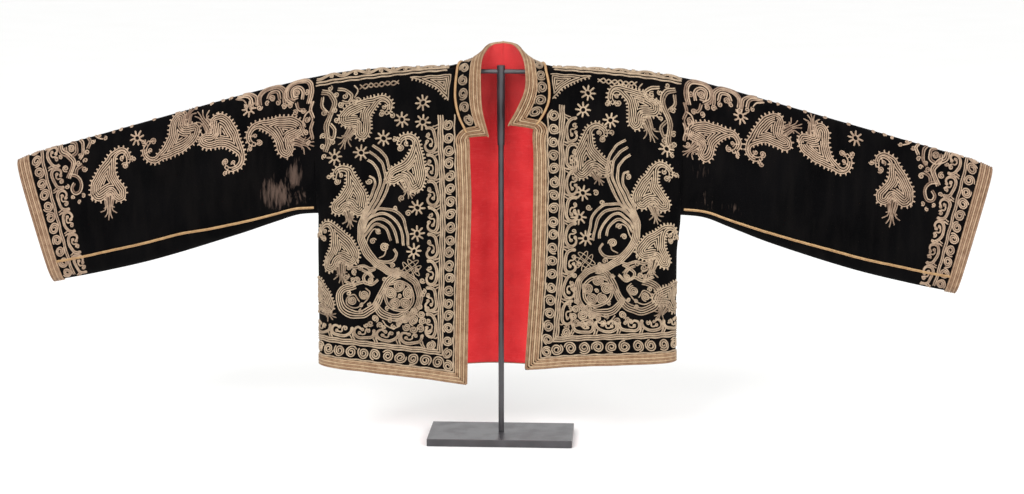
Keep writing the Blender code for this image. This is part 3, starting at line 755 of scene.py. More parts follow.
def pine(design, base, neck, bend, wide, root):
    """A pine (boteh): toothed drop of nested cords, hooked tip with three coils, and a branching root.
    neck is the top of the bend, bend the side that the tip hooks over to, and wide the greatest width."""
    base, neck, root = (np.asarray(p, float) for p in (base, neck, root))
    neck = mix(base, neck, NECK_SHARE)
    length = np.linalg.norm(neck - base)
    up = (neck - base) / length
    over = np.array([up[1], -up[0]]) * bend
    t = np.linspace(0.0, 1.0, 40)
    straight = base + up * (t * length)[:, None] - over * (0.06 * length * np.sin(np.pi * t))[:, None]
    sweep = np.linspace(0, HOOK_SWEEP, 50)[1:]
    shrink = 1 - 0.14 * sweep / sweep[-1]
    radius = HOOK_SIZE * length
    centre = neck + over * radius
    outwards, upwards = -np.cos(sweep) * shrink, np.sin(sweep) * shrink
    curl = centre + over * radius * outwards[:, None] + up * radius * upwards[:, None]
    spine = np.concatenate([straight, curl])
    place = np.concatenate([t, 1 + np.linspace(0, 1, 50)[1:]])
    full = beside(spine, through(PINE_WIDTHS, place, 1) * wide / 2 * bend)
    hollow = beside(spine, -through(PINE_WIDTHS, place, 2) * wide / 2 * bend)
    foot = np.array([base - over * x * wide / 2 + up * y * length for x, y in PINE_BASE])
    outline = np.concatenate([full, hollow[::-1], flow(foot)])
    tone = random.uniform(0.55, 0.88)
    design.filled(outline, (full[:-9], hollow[:42], flow(foot)[2:-2]), tone)
    for share, out, ahead, size in PINE_COILS:
        k = 39 + int(round(share * 49))
        heading = (spine[k] - spine[k - 3]) / np.linalg.norm(spine[k] - spine[k - 3])
        away = np.array([-heading[1], heading[0]]) * bend
        middle = spine[k] + away * out + heading * ahead
        design.coil(middle, size, tone - 0.15)
        design.draw(np.linspace(spine[k], middle, 5), CORD, tone)
    design.coil(base + up * 0.19 * length, 0.0034, tone - 0.2)
    start = base + up * 0.06 * length
    away = root - start
    reach = np.linalg.norm(away)
    away /= reach
    aside = np.array([-away[1], away[0]])
    for spread, share in PINE_ROOT:
        middle = start + away * reach * 0.45 + aside * spread * 0.016
        tip = start + away * reach * share + aside * reach * spread
        side = start + aside * spread * 0.026
        late = mix(middle, tip, 0.6) - aside * spread * 0.012
        design.draw(flow([side, middle, late, tip]), CORD, tone - 0.45)


def star(design, centre):
    """A small ring with eight short rays."""
    turn_by = random.uniform(-0.12, 0.12)
    tone = random.uniform(0.5, 0.8)
    design.draw(spiral(centre, 0.0053, 1.05, 0, 1, 0.0042), CORD * 1.2, tone)
    for k in range(8):
        way = turn_by + k * math.pi / 4
        ray = np.array([math.cos(way), math.sin(way)])
        start, end = centre + ray * 0.0050, centre + ray * (STAR_SIZE - 0.0013)
        design.draw(np.linspace(start, end, 4), CORD * 1.5, tone)


def rosette(design, centre, radius, darker=0.0):
    """A wide coil with an open eye, a little darker than the other work."""
    path = spiral(centre, radius, 2.25, random.uniform(0, 2 * math.pi), random.choice((-1, 1)), 0.0019)
    design.draw(path, CORD * 1.12, random.uniform(0.50, 0.78) - darker)


def knot(design, centre):
    """Two pairs of long loops laid across each other."""
    angle = np.linspace(0, 2 * np.pi, 49)
    for way in (KNOT_TILT + 0.75, KNOT_TILT + 0.75 + math.pi / 2):
        ahead = np.array([math.cos(way), math.sin(way)])
        aside = np.array([-ahead[1], ahead[0]])
        for shift in (-0.30, 0.30):
            along = np.sign(np.cos(angle)) * np.abs(np.cos(angle)) ** 0.7
            over = shift + 0.22 * np.sin(angle)
            loop = ahead * (along * KNOT_SIZE)[:, None] + aside * (over * KNOT_SIZE)[:, None]
            design.draw(centre + loop, CORD * 0.62, 0.55)


# Radius of a border's rosettes, how far in from them its scrolls start, and how deep the scrolls are
ROSETTE = 0.0090
SCROLL_INSET = 0.0242
SCROLL_RISE = 0.0208

# One repeat of the scroll border: the way along it and the way into the field, as shares of its size
SCROLL_STEM = (
    (0.01, 0.84),
    (0.01, 0.64),
    (0.09, 0.40),
    (0.26, 0.25),
    (0.50, 0.18),
    (0.72, 0.20),
    (0.87, 0.38),
    (0.89, 0.64),
    (0.80, 0.86),
    (0.66, 0.92),
    (0.56, 0.80),
)
SCROLL_HOOK = ((0.33, 0.88), (0.41, 0.70), (0.42, 0.52), (0.52, 0.43), (0.64, 0.48))
SCROLL_COILS = (
    # along, in, radius
    (0.28, 0.74, 0.0041),
    (0.53, 0.80, 0.0033),
    (0.66, 0.54, 0.0033),
    (0.00, 0.80, 0.0031),
)
SCROLL_STROKES = (
    ((-0.11, 0.02), (-0.05, 0.20), (-0.03, 0.42)),
    ((0.00, 0.03), (0.03, 0.16), (0.07, 0.26)),
    ((0.90, 0.08), (0.93, 0.20), (0.92, 0.30)),
)


def scroll_repeat(design, track, start, pitch, depth, rise):
    """A double stem that curls round a hook with coils. It opens to the field."""

    def at(x, y):
        x, y = alike(x, y)
        return track(start + x * pitch, depth + y * rise)

    tone = random.uniform(0.4, 0.75)
    path = flow([at(x, y) for x, y in SCROLL_STEM])
    share = np.linspace(0, 1, len(path))
    for away in (-0.0012, 0.0012):
        design.draw(beside(path, away * (1 - 0.6 * smooth(share * 3 - 2))), CORD * 1.15, tone)
    design.draw(flow([at(x, y) for x, y in SCROLL_HOOK]), CORD * 1.2, tone)
    for x, y, radius in SCROLL_COILS:
        design.coil(at(x, y), radius, tone)
    for points in SCROLL_STROKES:
        design.draw(flow([at(x, y) for x, y in points]), CORD, tone)


def border(design, track, rosettes, scrolls, depth, pitch=0.0190, repeat=0.0395, more=0.0):
    """A row of rosettes and a row of scrolls along a track. track(t, d) is the place a way t along it
    and d in from the edge of the cloth. rosettes and scrolls have the start and end of each row, and
    pitch and repeat about the length of one motif. more makes the band that much deeper."""
    start, end = rosettes
    count = max(1, round((end - start) / pitch))
    for k in range(count):
        way = start + (k + 0.5) * (end - start) / count
        rosette(design, track(way, depth + 0.0096 + 0.38 * more), ROSETTE + 0.13 * more)
    scroll_row(design, track, scrolls, repeat, depth + SCROLL_INSET + more)


def scroll_row(design, track, ends, repeat, depth):
    start, end = ends
    count = max(1, round((end - start) / repeat))
    repeat = (end - start) / count
    for k in range(count):
        scroll_repeat(design, track, start + k * repeat, repeat, depth, SCROLL_RISE)


def corner_lines(design, down, along, starts, ends, insets):
    """Lines down one border and on along the hem's. insets has how far each lies in from both edges."""
    for over, up in insets:
        t = np.linspace(starts[0], ends[0] - up, 200)
        u = np.linspace(starts[1] + over, ends[1], 140)
        path = np.concatenate([down(t, np.full(200, over))[:-2], along(u, np.full(140, up))[2:]])
        design.draw(path, CORD * 1.25, LINE_TONE)


LINE_TONE = 0.6
FRONT_LINES = (
    # in from the front edge, up from the hem
    (0.0201, 0.0166),
    (0.0372, 0.0322 + HEM_MORE),
    (0.0404, 0.0354 + HEM_MORE),
    (0.0434, 0.0384 + HEM_MORE),
)
BACK_LINES = ((0.0107, 0.0325), (0.0137, 0.0355))
CUFF_LINES = (0.0372, 0.0400)

# Where the work lies, in millimetres seen from the front: out from the middle, and up from the floor.
# A pine has its base, its neck, the end of its root, the side that it hooks to (1 is outwards), its width.
FIELD = {
    "left": {
        "pines": (
            ((213, 469), (173, 514), (233, 438), -1, 54),
            ((141, 390), (118, 450), (128, 366), 1, 56),
            ((222, 348), (217, 408), (219, 320), 1, 54),
            ((234, 269), (246, 327), (232, 236), 1, 56),
            ((266, 197), (264, 238), (243, 186), 1, 46),
        ),
        "stars": (
            *((112, 505), (142, 480), (112, 477), (169, 453), (202, 432)),
            *((241, 425), (120, 353), (120, 315), (125, 289)),
        ),
        "knot": (129, 263),
        "shift": (0, 0),
    },
    "right": {
        "pines": (
            ((210, 486), (172, 530), (224, 450), -1, 54),
            ((136, 408), (126, 470), (149, 388), 1, 56),
            ((221, 359), (224, 418), (230, 330), 1, 54),
            ((224, 279), (240, 327), (216, 247), 1, 54),
            ((243, 209), (253, 240), (228, 190), 1, 46),
        ),
        "stars": ((127, 520), (120, 496), (160, 481), (121, 376), (115, 341), (241, 440), (125, 310)),
        "knot": (124, 277),
        "shift": (-4, 10),
    },
}

# The plumes and scrolls that fill the rest of each front, drawn for the left one. The other is shifted.
LARGE_SCROLL = (
    *((146, 254), (160, 248), (171, 230), (180, 211), (195, 197)),
    *((213, 192), (230, 199), (237, 215), (231, 229), (213, 236)),
)
COIL_RING = (
    *((168, 233), (166, 214), (154, 203), (139, 202), (129, 211)),
    *((127, 226), (134, 239), (148, 244), (161, 240)),
)
SMALL_SCROLL = (
    *((207, 213), (214, 222), (224, 218), (226, 208), (217, 202)),
    *((205, 206), (196, 214), (190, 226), (196, 233)),
)
PLUMES = (
    # number of cords, their pitch in mm, how far they draw together at both ends, path
    (2, 2.3, 0.7, 0.9, ((196, 330), (178, 352), (162, 384), (160, 408), (169, 431), (185, 443))),
    (2, 2.3, 0.7, 0.9, ((198, 333), (184, 353), (169, 384), (167, 405), (175, 423), (189, 433))),
    (2, 2.3, 0.8, 0.9, ((200, 336), (189, 354), (176, 382), (175, 400), (182, 414), (192, 421))),
    (2, 2.3, 0.8, 0.6, ((201, 340), (194, 356), (183, 380), (183, 394), (190, 398))),
    (5, 2.6, 0.8, 0.8, ((197, 340), (203, 322), (202, 303), (195, 287), (182, 272), (164, 260), (146, 253))),
    (2, 2.3, 0.7, 0.9, ((199, 328), (192, 342), (176, 350), (156, 349), (141, 337), (135, 316), (133, 298))),
    (2, 2.3, 0.7, 0.9, ((199, 321), (192, 334), (177, 343), (160, 341), (148, 330), (142, 312), (140, 298))),
    (2, 2.3, 0.7, 0.9, ((198, 315), (191, 326), (178, 336), (165, 333), (155, 322), (150, 309), (149, 301))),
    (2, 2.3, 0.6, 0.9, ((197, 309), (190, 319), (180, 328), (170, 325), (162, 315), (159, 305))),
    (1, 2.7, 1.0, 1.0, ((195, 300), (188, 316), (181, 321), (175, 317))),
    (2, 2.7, 0.9, 0.7, ((180, 275), (166, 272), (155, 276), (150, 285), (154, 292))),
    (1, 2.7, 1.0, 1.0, ((176, 279), (168, 283), (166, 292))),
    (4, 2.6, 0.8, 0.9, ((163, 261), (142, 256), (124, 244), (117, 224), (121, 205), (134, 191), (151, 184))),
    (4, 3.4, 0.8, 0.9, LARGE_SCROLL),
    (2, 2.7, 1.0, 1.0, COIL_RING),
    (1, 2.7, 1.0, 1.0, SMALL_SCROLL),
    (2, 2.7, 0.8, 0.8, ((183, 262), (193, 256), (200, 248), (196, 240), (187, 244), (190, 253), (201, 259))),
    (1, 2.7, 1.0, 1.0, ((184, 250), (194, 262), (205, 266))),
    (4, 3.4, 0.6, 0.8, ((184, 212), (176, 199), (164, 192), (150, 191), (140, 195))),
    (1, 2.7, 1.0, 1.0, ((146, 178), (156, 175), (166, 178), (172, 186))),
    (2, 2.7, 0.8, 0.8, ((226, 268), (214, 262), (202, 266), (190, 262), (180, 266))),
    (2, 2.7, 0.8, 0.8, ((228, 242), (214, 237), (200, 242), (188, 238), (178, 246))),
)
CURLS = (
    # x, z, radius
    (177, 318, 4.6),
    (185, 303, 4.6),
    (168, 294, 6.2),
    (204, 263, 4.4),
    (209, 245, 4.4),
    (217, 213, 6.6),
    (199, 223, 7.0),
    (203, 207, 3.6),
    (192, 209, 3.2),
    (147, 238, 8.2),
    (159.5, 227, 8.2),
    (154, 212, 8.2),
    (138, 212, 8.2),
    (132.5, 227, 8.2),
    (146, 223, 3.4),
    (139, 187, 5.6),
    (135, 197, 5.6),
    (125, 200, 5.6),
    (115, 196, 5.6),
    (112, 186, 5.6),
    (116, 176, 5.6),
    (126, 173, 5.6),
    (136, 177, 5.6),
    (126, 187, 7.2),
    (105, 204, 4.2),
    (116, 208, 4.2),
    (103, 170, 4.0),
    (183, 188, 5.4),
    (190, 180, 4.6),
    (176, 179, 4.6),
    (222, 262, 4.6),
    (226, 248, 4.6),
    (214, 256, 4.6),
    (216, 243, 4.0),
    (189, 244, 4.2),
    (204, 198, 3.8),
    (223, 224, 3.6),
    (148, 182, 4.2),
    (160, 186, 4.2),
    (164, 205, 3.8),
    (176, 222, 3.4),
    (120, 262, 3.6),
    (112, 226, 3.6),
    (170, 176, 3.6),
    (155, 177, 4.2),
    (196, 178, 3.6),
    (157, 268, 4.2),
    (150, 262, 3.4),
    (113, 246, 4.4),
    (110, 230, 3.8),
    (168, 246, 3.6),
    (190, 390, 4.6),
    (133, 345, 4.4),
    (143, 366, 4.4),
    (152, 352, 3.4),
    (119, 240, 3.0),
)
SHOULDER_SCROLLS = (
    # number of cords, path in millimetres out from the middle and down from the shoulder seam
    (3, ((259, 14), (247, 19), (241, 32), (246, 48), (253, 66), (250, 86), (255, 100))),
    (2, ((251, 46), (259, 34), (259, 22))),
    (2, ((247, 62), (240, 72), (243, 84), (249, 80))),
    (2, ((236, 14), (224, 17), (216, 26), (220, 35), (229, 32))),
    (1, ((212, 12), (207, 20), (211, 29))),
    (1, ((204, 11), (196, 17), (188, 11), (180, 17), (172, 11), (164, 17), (156, 11), (148, 16))),
    (1, ((204, 17), (196, 11), (188, 17), (180, 11), (172, 17), (164, 11), (156, 17), (148, 12))),
)
SHOULDER_CURLS = (
    # x, down, radius
    (257, 44, 4.4),
    (240, 44, 4.0),
    (244, 90, 4.4),
    (258, 78, 4.4),
    (258, 92, 4.0),
    (256, 108, 4.0),
    (232, 36, 4.6),
    (226, 25, 4.0),
    (212, 36, 4.0),
    (238, 22, 4.0),
    (248, 10, 3.6),
    (206, 32, 3.4),
    (238, 58, 3.4),
)
SLEEVES = {
    "left": {
        "pines": (
            ((302, 449), (357, 474), (271, 440), 1, 54),
            ((424, 461), (373, 427), (444, 488), -1, 52),
            ((460, 470), (507, 413), (453, 492), -1, 52),
            ((577, 364), (570, 429), (579, 328), -1, 56),
        ),
        "stars": ((367, 493), (534, 449)),
        "worn": (
            # x, z, half width and half height in metres, how much
            (0.327, 0.371, 0.026, 0.024, 1.0),
            (0.300, 0.398, 0.012, 0.024, 0.95),
            (0.294, 0.366, 0.018, 0.014, 0.62),
        ),
    },
    "right": {
        "pines": (
            ((286, 447), (336, 466), (266, 431), 1, 54),
            ((407, 465), (355, 448), (434, 477), -1, 52),
            ((450, 461), (490, 406), (448, 490), -1, 52),
            ((569, 367), (567, 429), (565, 328), -1, 56),
        ),
        "stars": ((347, 487), (512, 456)),
        "worn": (
            (0.292, 0.408, 0.013, 0.014, 0.46),
            (0.338, 0.352, 0.020, 0.012, 0.42),
            (0.300, 0.360, 0.020, 0.030, 0.36),
        ),
    },
}
ARM_SCROLLS = (
    # number of cords, path in millimetres along the sleeve and down from its fold
    (3, ((10, 42), (5, 24), (12, 9), (28, 5), (42, 13), (43, 28), (33, 36))),
    (2, ((20, 34), (18, 22), (26, 14), (35, 18), (34, 29), (27, 30))),
    (2, ((28, 38), (25, 48), (17, 50))),
    (2, ((3, 42), (6, 54), (2, 68), (6, 82), (3, 96))),
    (1, ((6, 54), (14, 58), (18, 66), (15, 72))),
    (3, ((46, 34), (47, 17), (58, 6), (74, 5), (85, 14), (86, 27))),
    (2, ((54, 26), (58, 15), (68, 13), (73, 21))),
    (2, ((89, 26), (92, 13), (101, 6), (112, 4))),
    (2, ((97, 24), (100, 14), (108, 8), (120, 6))),
    (1, ((106, 20), (111, 13), (122, 9))),
)
ARM_CURLS = (
    # along, down, radius
    (28, 23, 5.6),
    (38, 39, 4.8),
    (17, 51, 4.6),
    (31, 52, 4.4),
    (12, 26, 4.0),
    (48, 39, 4.6),
    (86, 31, 4.4),
    (66, 22, 5.2),
    (57, 30, 4.2),
    (74, 27, 3.8),
    (12, 66, 4.6),
    (14, 84, 4.2),
    (9, 100, 3.8),
    (97, 28, 3.8),
    (106, 24, 3.4),
    (130, 4, 3.2),
    (143, 3, 3.0),
    (160, 3, 3.2),
    (184, 3, 3.0),
    (214, 3, 2.8),
    (250, 3, 2.8),
)
CUFF_SCROLLS = (
    # number of cords, path in millimetres in from the cuff and down from the fold
    (3, ((67, 2), (69, 14), (78, 22), (84, 34), (78, 46), (72, 54))),
    (2, ((84, 2), (92, 8), (92, 20), (84, 25), (76, 20), (75, 10))),
    (2, ((74, 50), (85, 56), (90, 67), (85, 78), (76, 78), (73, 70), (78, 65))),
    (2, ((84, 54), (88, 46), (97, 42))),
    (2, ((98, 2), (103, 12), (101, 24), (95, 32))),
    (2, ((110, 2), (114, 10), (110, 20))),
    (1, ((122, 2), (126, 9), (134, 12))),
)
CUFF_CURLS = (
    # in, down, radius
    (84, 14, 6.2),
    (70, 40, 5.2),
    (92, 38, 4.6),
    (99, 48, 5.0),
    (88, 86, 3.8),
    (80, 92, 3.4),
    (72, 84, 3.6),
    (66, 66, 3.8),
    (96, 28, 4.0),
    (108, 26, 4.2),
    (103, 36, 3.8),
    (118, 12, 3.8),
    (128, 6, 3.4),
    (138, 12, 3.6),
    (150, 6, 3.0),
    (162, 4, 3.0),
    (178, 4, 2.8),
    (66, 22, 3.6),
)


def millimetres(points):
    return np.array(points, float) / 1000


def alike(*values):
    """The values as arrays of one shape."""
    return np.broadcast_arrays(*(np.asarray(value, float) for value in values))


def lift_grid(grid, lift, sign, ring=False):
    """The grid moved out along its normals. Its rows run up or outwards, its columns outwards or round."""
    down = np.gradient(grid, axis=0)
    if ring:
        over = (np.roll(grid, -1, axis=1) - np.roll(grid, 1, axis=1)) / 2
    else:
        over = np.gradient(grid, axis=1)
    normal = np.cross(down, over)
    normal /= np.maximum(np.linalg.norm(normal, axis=-1, keepdims=True), 1e-12)
    return grid + normal * sign * lift


def x_at(sheet, u, q):
    return np.abs(sheet.read(sheet.grid, np.stack(np.broadcast_arrays(u, -q), axis=-1))[..., 0])


def u_at(sheet, x, q):
    """How far out along the cloth a distance x from the middle lies."""
    x, q = alike(x, q)
    u = np.array(x)
    for _ in range(5):
        u = u + (x - x_at(sheet, u, q))
    return u


def cloth_place(sheet, x, q):
    """The place on the cloth x out from the middle and a way q down."""
    return np.stack([u_at(sheet, x, q), -q], axis=-1)


def reach_at(sheet, q):
    return np.interp(-q, sheet.vs, sheet.reach)


def front_grid(side, sheet, across, down):
    """Places of a front's cloth, from its edge to its side and from the shoulder seam to the hem."""
    q = np.full(np.broadcast(across, down).shape, 0.2)
    for _ in range(6):
        u = mix(u_at(sheet, edge_x(side, q), q), reach_at(sheet, q), across)
        x = x_at(sheet, u, q)
        q = mix(seam_at(side, x), hem_at(side, x), down)
    return np.stack([u, -q], axis=-1)


def back_grid(side, sheet, across, down):
    q = np.full(np.broadcast(across, down).shape, -0.2)
    for _ in range(6):
        u = mix(np.interp(-q, sheet.vs, sheet.start), reach_at(sheet, q), across)
        x = x_at(sheet, u, q)
        q = mix(back_start_at(side, x), -back_hem_at(side, x), down)
    return np.stack([u, -q], axis=-1)


pieces = {"velvet": [], "lining": [], "braid": [], "gilt": [], "seam": [], "arm_braid": [], "arm_gilt": []}


def keep(piece, finish, replaces=(), sheet=None):
    """Hangs a piece on the part's body, lists it under its finish and hides the parts of the model that it
    replaces.
    """
    pieces[finish].append(piece)
    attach(piece, "root")
    finish if finish in ("velvet", "lining") else "braid"
    for node in replaces:
        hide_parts(node)
    return piece


bodies = {name: body_sheet(side) for name, side in SIDES.items()}
arms = {name: sleeve_sheet(side) for name, side in SIDES.items()}
collars = {name: collar_sheet(side) for name, side in SIDES.items()}


def build_fronts():
    for name, side in SIDES.items():
        sheet = bodies[name]
        across, down = np.meshgrid(np.linspace(0, 1, 53), np.linspace(0, 1, 97))
        places = front_grid(side, sheet, across, down)
        outer, _ = sheet.points(places)
        inner, _ = sheet.points(places, -VELVET)
        keep(shell(f"velvet_front_{name}", outer, inner, places), "velvet", [f"front_{name}"], (0.26, 0.46))
        across, down = across[::2, ::2], down[::2, ::2]
        places = front_grid(side, sheet, 0.004 + across * 0.966, 0.003 + 0.994 * down)
        outer, _ = sheet.points(places, NEAR_LINING[0])
        inner, _ = sheet.points(places, NEAR_LINING[1])
        keep(shell(f"lining_front_{name}", outer, inner, places), "lining", (), (0.25, 0.455))


def back_rumple(x, v):
    """The creases and pleats of the back's lining."""
    creases = 0.0006 * np.sin(70 * x + 12 * np.sin(25 * v))
    creases = creases * np.sin(45 * v + 3 * np.sin(40 * x))
    pleats = np.cos(2 * np.pi * x / 0.031 + 2.5 * np.sin(9 * v)) * smooth((0.30 - v) / 0.2)
    return creases + 0.0011 * pleats * (0.4 + 0.6 * np.cos(11 * x + 2) ** 2)


def build_back():
    """The back and its lining, each one piece from side to side."""
    down = np.linspace(0, 1, 106)
    out = np.linspace(0, 1, 54)
    for finish, name, lifts, flat, last in (
        ("velvet", "back", (0.0, -VELVET), (0.62, 0.47), 1.0),
        ("lining", "lining_back", BACK_LINING, (0.60, 0.46), 0.9985),
    ):
        layers, uvs = [], None
        for lift in lifts:
            halves, flats = [], []
            for key in ("left", "right"):
                side, sheet = SIDES[key], bodies[key]
                across, rows = np.meshgrid(out * (0.975 if finish == "lining" else 1.0), down * last)
                places = back_grid(side, sheet, across, rows)
                rumple = 0.0
                if finish == "lining":
                    rumple = back_rumple(places[..., 0] * side["sign"], places[..., 1])
                points, _ = sheet.points(places, lift + rumple)
                places = places * np.array([side["sign"], 1.0])
                halves.append(points[:, ::-1] if key == "left" else points[:, 1:])
                flats.append(places[:, ::-1] if key == "left" else places[:, 1:])
            layers.append(np.concatenate(halves, axis=1))
            uvs = np.concatenate(flats, axis=1)
        # Painted shade: the back's lining is darkened near its top, under the collar and the bar, fading out
        # lower down
        painted_shade = 0.85 * (1 - smooth((uvs[..., 1] - 0.080) / 0.060)) if finish == "lining" else None
        keep(shell(f"{finish}_back", *layers, uvs, painted_shade), finish, [name], flat)


def build_sleeves():
    for name, side in SIDES.items():
        along, around = np.meshgrid(np.linspace(0.001, 1, 97), np.linspace(0, 1, 105)[:-1], indexing="ij")
        grid = sleeve_at(side, along, around)
        from_armhole(side, grid)
        inner = lift_grid(grid, -VELVET, -side["sign"], True)
        from_armhole(side, inner)
        tucked = UNDERARM_TUCK * smooth((0.16 - np.abs(around[0] - 0.5)) / 0.10)
        for layer in (grid, inner):
            layer[0, :, 0] = side["sign"] * (side["armhole"] - SEAM_LAP - tucked)
        x, z = np.abs(grid[..., 0]), grid[..., 2]
        worn = np.zeros(x.shape)
        for patch_x, patch_z, wide, tall, much in SLEEVES[name]["worn"]:
            away_x, away_z = ((x - patch_x) / wide) ** 2, ((z - patch_z) / tall) ** 2
            worn = np.maximum(worn, much * np.exp(-away_x - away_z))
        uvs = np.stack([along * 0.45, around * 0.40], axis=-1)
        made = shell(f"velvet_sleeve_{name}", grid, inner, uvs, worn, True)
        keep(made, "velvet", [f"sleeve_{name}"], (0.40, 0.45))
        low, high = (lift_grid(grid, lift, -side["sign"], True) for lift in SLEEVE_LINING)
        from_armhole(side, low)
        from_armhole(side, high)
        low, high, uvs = low[3:-1:2, ::2], high[3:-1:2, ::2], uvs[3:-1:2, ::2]
        keep(shell(f"lining_sleeve_{name}", low, high, uvs, None, True), "lining", (), (0.39, 0.44))


def build_collar():
    """The collar and its lining, from tip to tip."""
    for finish, node, lifts, last in (
        ("velvet", "collar", (0.0, -VELVET), 1.0),
        ("lining", "collar_lining", NEAR_LINING, 0.998),
    ):
        layers, uvs = [], None
        for lift in lifts:
            halves, flats = [], []
            for key in ("left", "right"):
                side, sheet = SIDES[key], collars[key]
                first = 0.0 if finish == "velvet" else 0.01 * sheet.length
                us = np.linspace(first, sheet.length, 90)
                u, v = np.meshgrid(us, sheet.vs[-1] * np.linspace(0, last, 16), indexing="ij")
                places = np.stack([u, v], axis=-1)
                rumple = 0.0
                if finish == "lining":
                    rumple = 0.0007 * np.cos(2 * np.pi * u / 0.023 + 40 * v)
                    rumple = rumple * np.sin(np.pi * v / sheet.vs[-1])
                points, _ = sheet.points(places, lift + rumple)
                if finish == "lining":
                    below = 2 * points[:, :1] - points[:, 3:4]
                    points = np.concatenate([below, points], axis=1)
                    places = np.concatenate([places[:, :1] - (0, 0.006), places], axis=1)
                halves.append(points if key == "left" else points[::-1][1:])
                flats.append(places if key == "left" else places[::-1][1:])
            layers.append(np.concatenate(halves))
            uvs = np.concatenate(flats)
        # Painted shade: the whole collar lining is darkened, as though it lay in shade
        painted_shade = np.full(uvs.shape[:2], 0.75) if finish == "lining" else None
        keep(shell(f"{finish}_collar", *layers, uvs, painted_shade), finish, [node], (0.40, 0.04))


def rim(cords, edge, inner, normal):
    """A cord over the cut edge of the cloth and its lining, from points of the edge and points further in."""
    out = edge - inner
    out /= np.linalg.norm(out, axis=1, keepdims=True)
    cords.sweep(edge - normal * 0.0015 - out * 0.0004, out, RIM_WIDTH, 0.40, RIM_TONE, 0.0)


def band_cord(cords, points, normal, band_width, tone, start):
    """One of the cords that lie side by side in an edge band."""
    cords.sweep(points, normal, band_width / BAND_CORDS * BAND_FILL, BAND_HEIGHT, tone, start)


def front_line(side, sheet, depth, low):
    """A line inside a front's edge and hem, at a distance from each, with its mitred corner."""
    first = float(notch_at(side)) + 0.0004
    corner_x = float(edge_x(side, np.array(0.4)))
    bottom = float(hem_at(side, corner_x + depth)) - low
    q = np.linspace(first, bottom, 130)
    x = edge_x(side, q) + depth
    down = cloth_place(sheet, x, q)
    u = np.linspace(down[-1, 0], float(reach_at(sheet, np.array(bottom))) - 0.0005, 80)[1:]
    v = -(hem_at(side, x_at(sheet, u, np.full(79, bottom))) - low)
    return np.concatenate([down, np.stack([u, v], axis=-1)])


def build_front_band(name, side):
    sheet = bodies[name]
    cords = Cords()
    for k in range(BAND_CORDS):
        d = (k + 0.5) / BAND_CORDS
        line = front_line(side, sheet, d * BRAID_WIDTH, d * HEM_BRAID_WIDTH)
        points, normal = sheet.points(line, BAND_LIFT)
        band_cord(cords, points, normal, BRAID_WIDTH, BAND_TONES[k], random.random())
    edge, normal = sheet.points(front_line(side, sheet, 0.0, 0.0))
    inner, _ = sheet.points(front_line(side, sheet, 0.004, 0.004))
    rim(cords, edge, inner, normal)
    keep(cords.made(f"cords_front_{name}"), "braid", [f"braid_front_{name}"])


def build_cuff_band(name, side):
    cords = Cords()
    around = np.linspace(0, 1, 161)
    for k in range(BAND_CORDS):
        d = (k + 0.5) * CUFF_BRAID_WIDTH / BAND_CORDS
        along = 1 - d / arms[name].length
        ring = sleeve_at(side, np.full(161, along), around)
        ahead = np.gradient(ring, axis=0)
        inward = sleeve_at(side, np.full(161, along - 0.004), around) - ring
        normal = np.cross(inward, ahead) * side["sign"]
        normal /= np.linalg.norm(normal, axis=1, keepdims=True)
        ring = ring + normal * BAND_LIFT
        band_cord(cords, ring, normal, CUFF_BRAID_WIDTH, BAND_TONES[k], random.random())
    edge = sleeve_at(side, np.ones(161), around)
    rim(cords, edge, sleeve_at(side, np.full(161, 0.99), around), normal)
    keep(cords.made(f"cords_cuff_{name}"), "arm_braid", [f"braid_cuff_{name}"])


def build_arm_seam(name, side):
    """Two thin cords side by side along the front of a sleeve, a little above its lower fold."""
    cords = Cords()
    along = np.linspace(0.012, 0.962, 150)
    x = mix(side["armhole"], side["cuff"][1], along)
    low = sleeve_at(side, along, np.full(150, 0.5))
    high = sleeve_at(side, along, np.zeros(150))
    length = np.linalg.norm(low - high, axis=1)
    rise = through(side["seam_rise"], x)
    around = np.arccos(2 * rise / length - 1) / (2 * np.pi)
    points = sleeve_at(side, along, around)
    ahead = np.gradient(points, axis=0)
    below = sleeve_at(side, along, around + 0.01) - points
    normal = np.cross(ahead, below) * side["sign"]
    normal /= np.linalg.norm(normal, axis=1, keepdims=True)
    if normal[75, 1] > 0:
        normal = -normal
    aside = below / np.linalg.norm(below, axis=1, keepdims=True)
    for shift, tone in ((-0.0009, 0.7), (0.0009, 0.5)):
        centre = points + normal * BAND_LIFT + aside * shift
        cords.sweep(centre, normal, 0.0020, 0.75, tone, random.random())
    keep(cords.made(f"cord_seam_{name}"), "seam", [f"seam_cord_{name}"])


def build_edges():
    for name, side in SIDES.items():
        build_front_band(name, side)
        build_cuff_band(name, side)
        build_arm_seam(name, side)


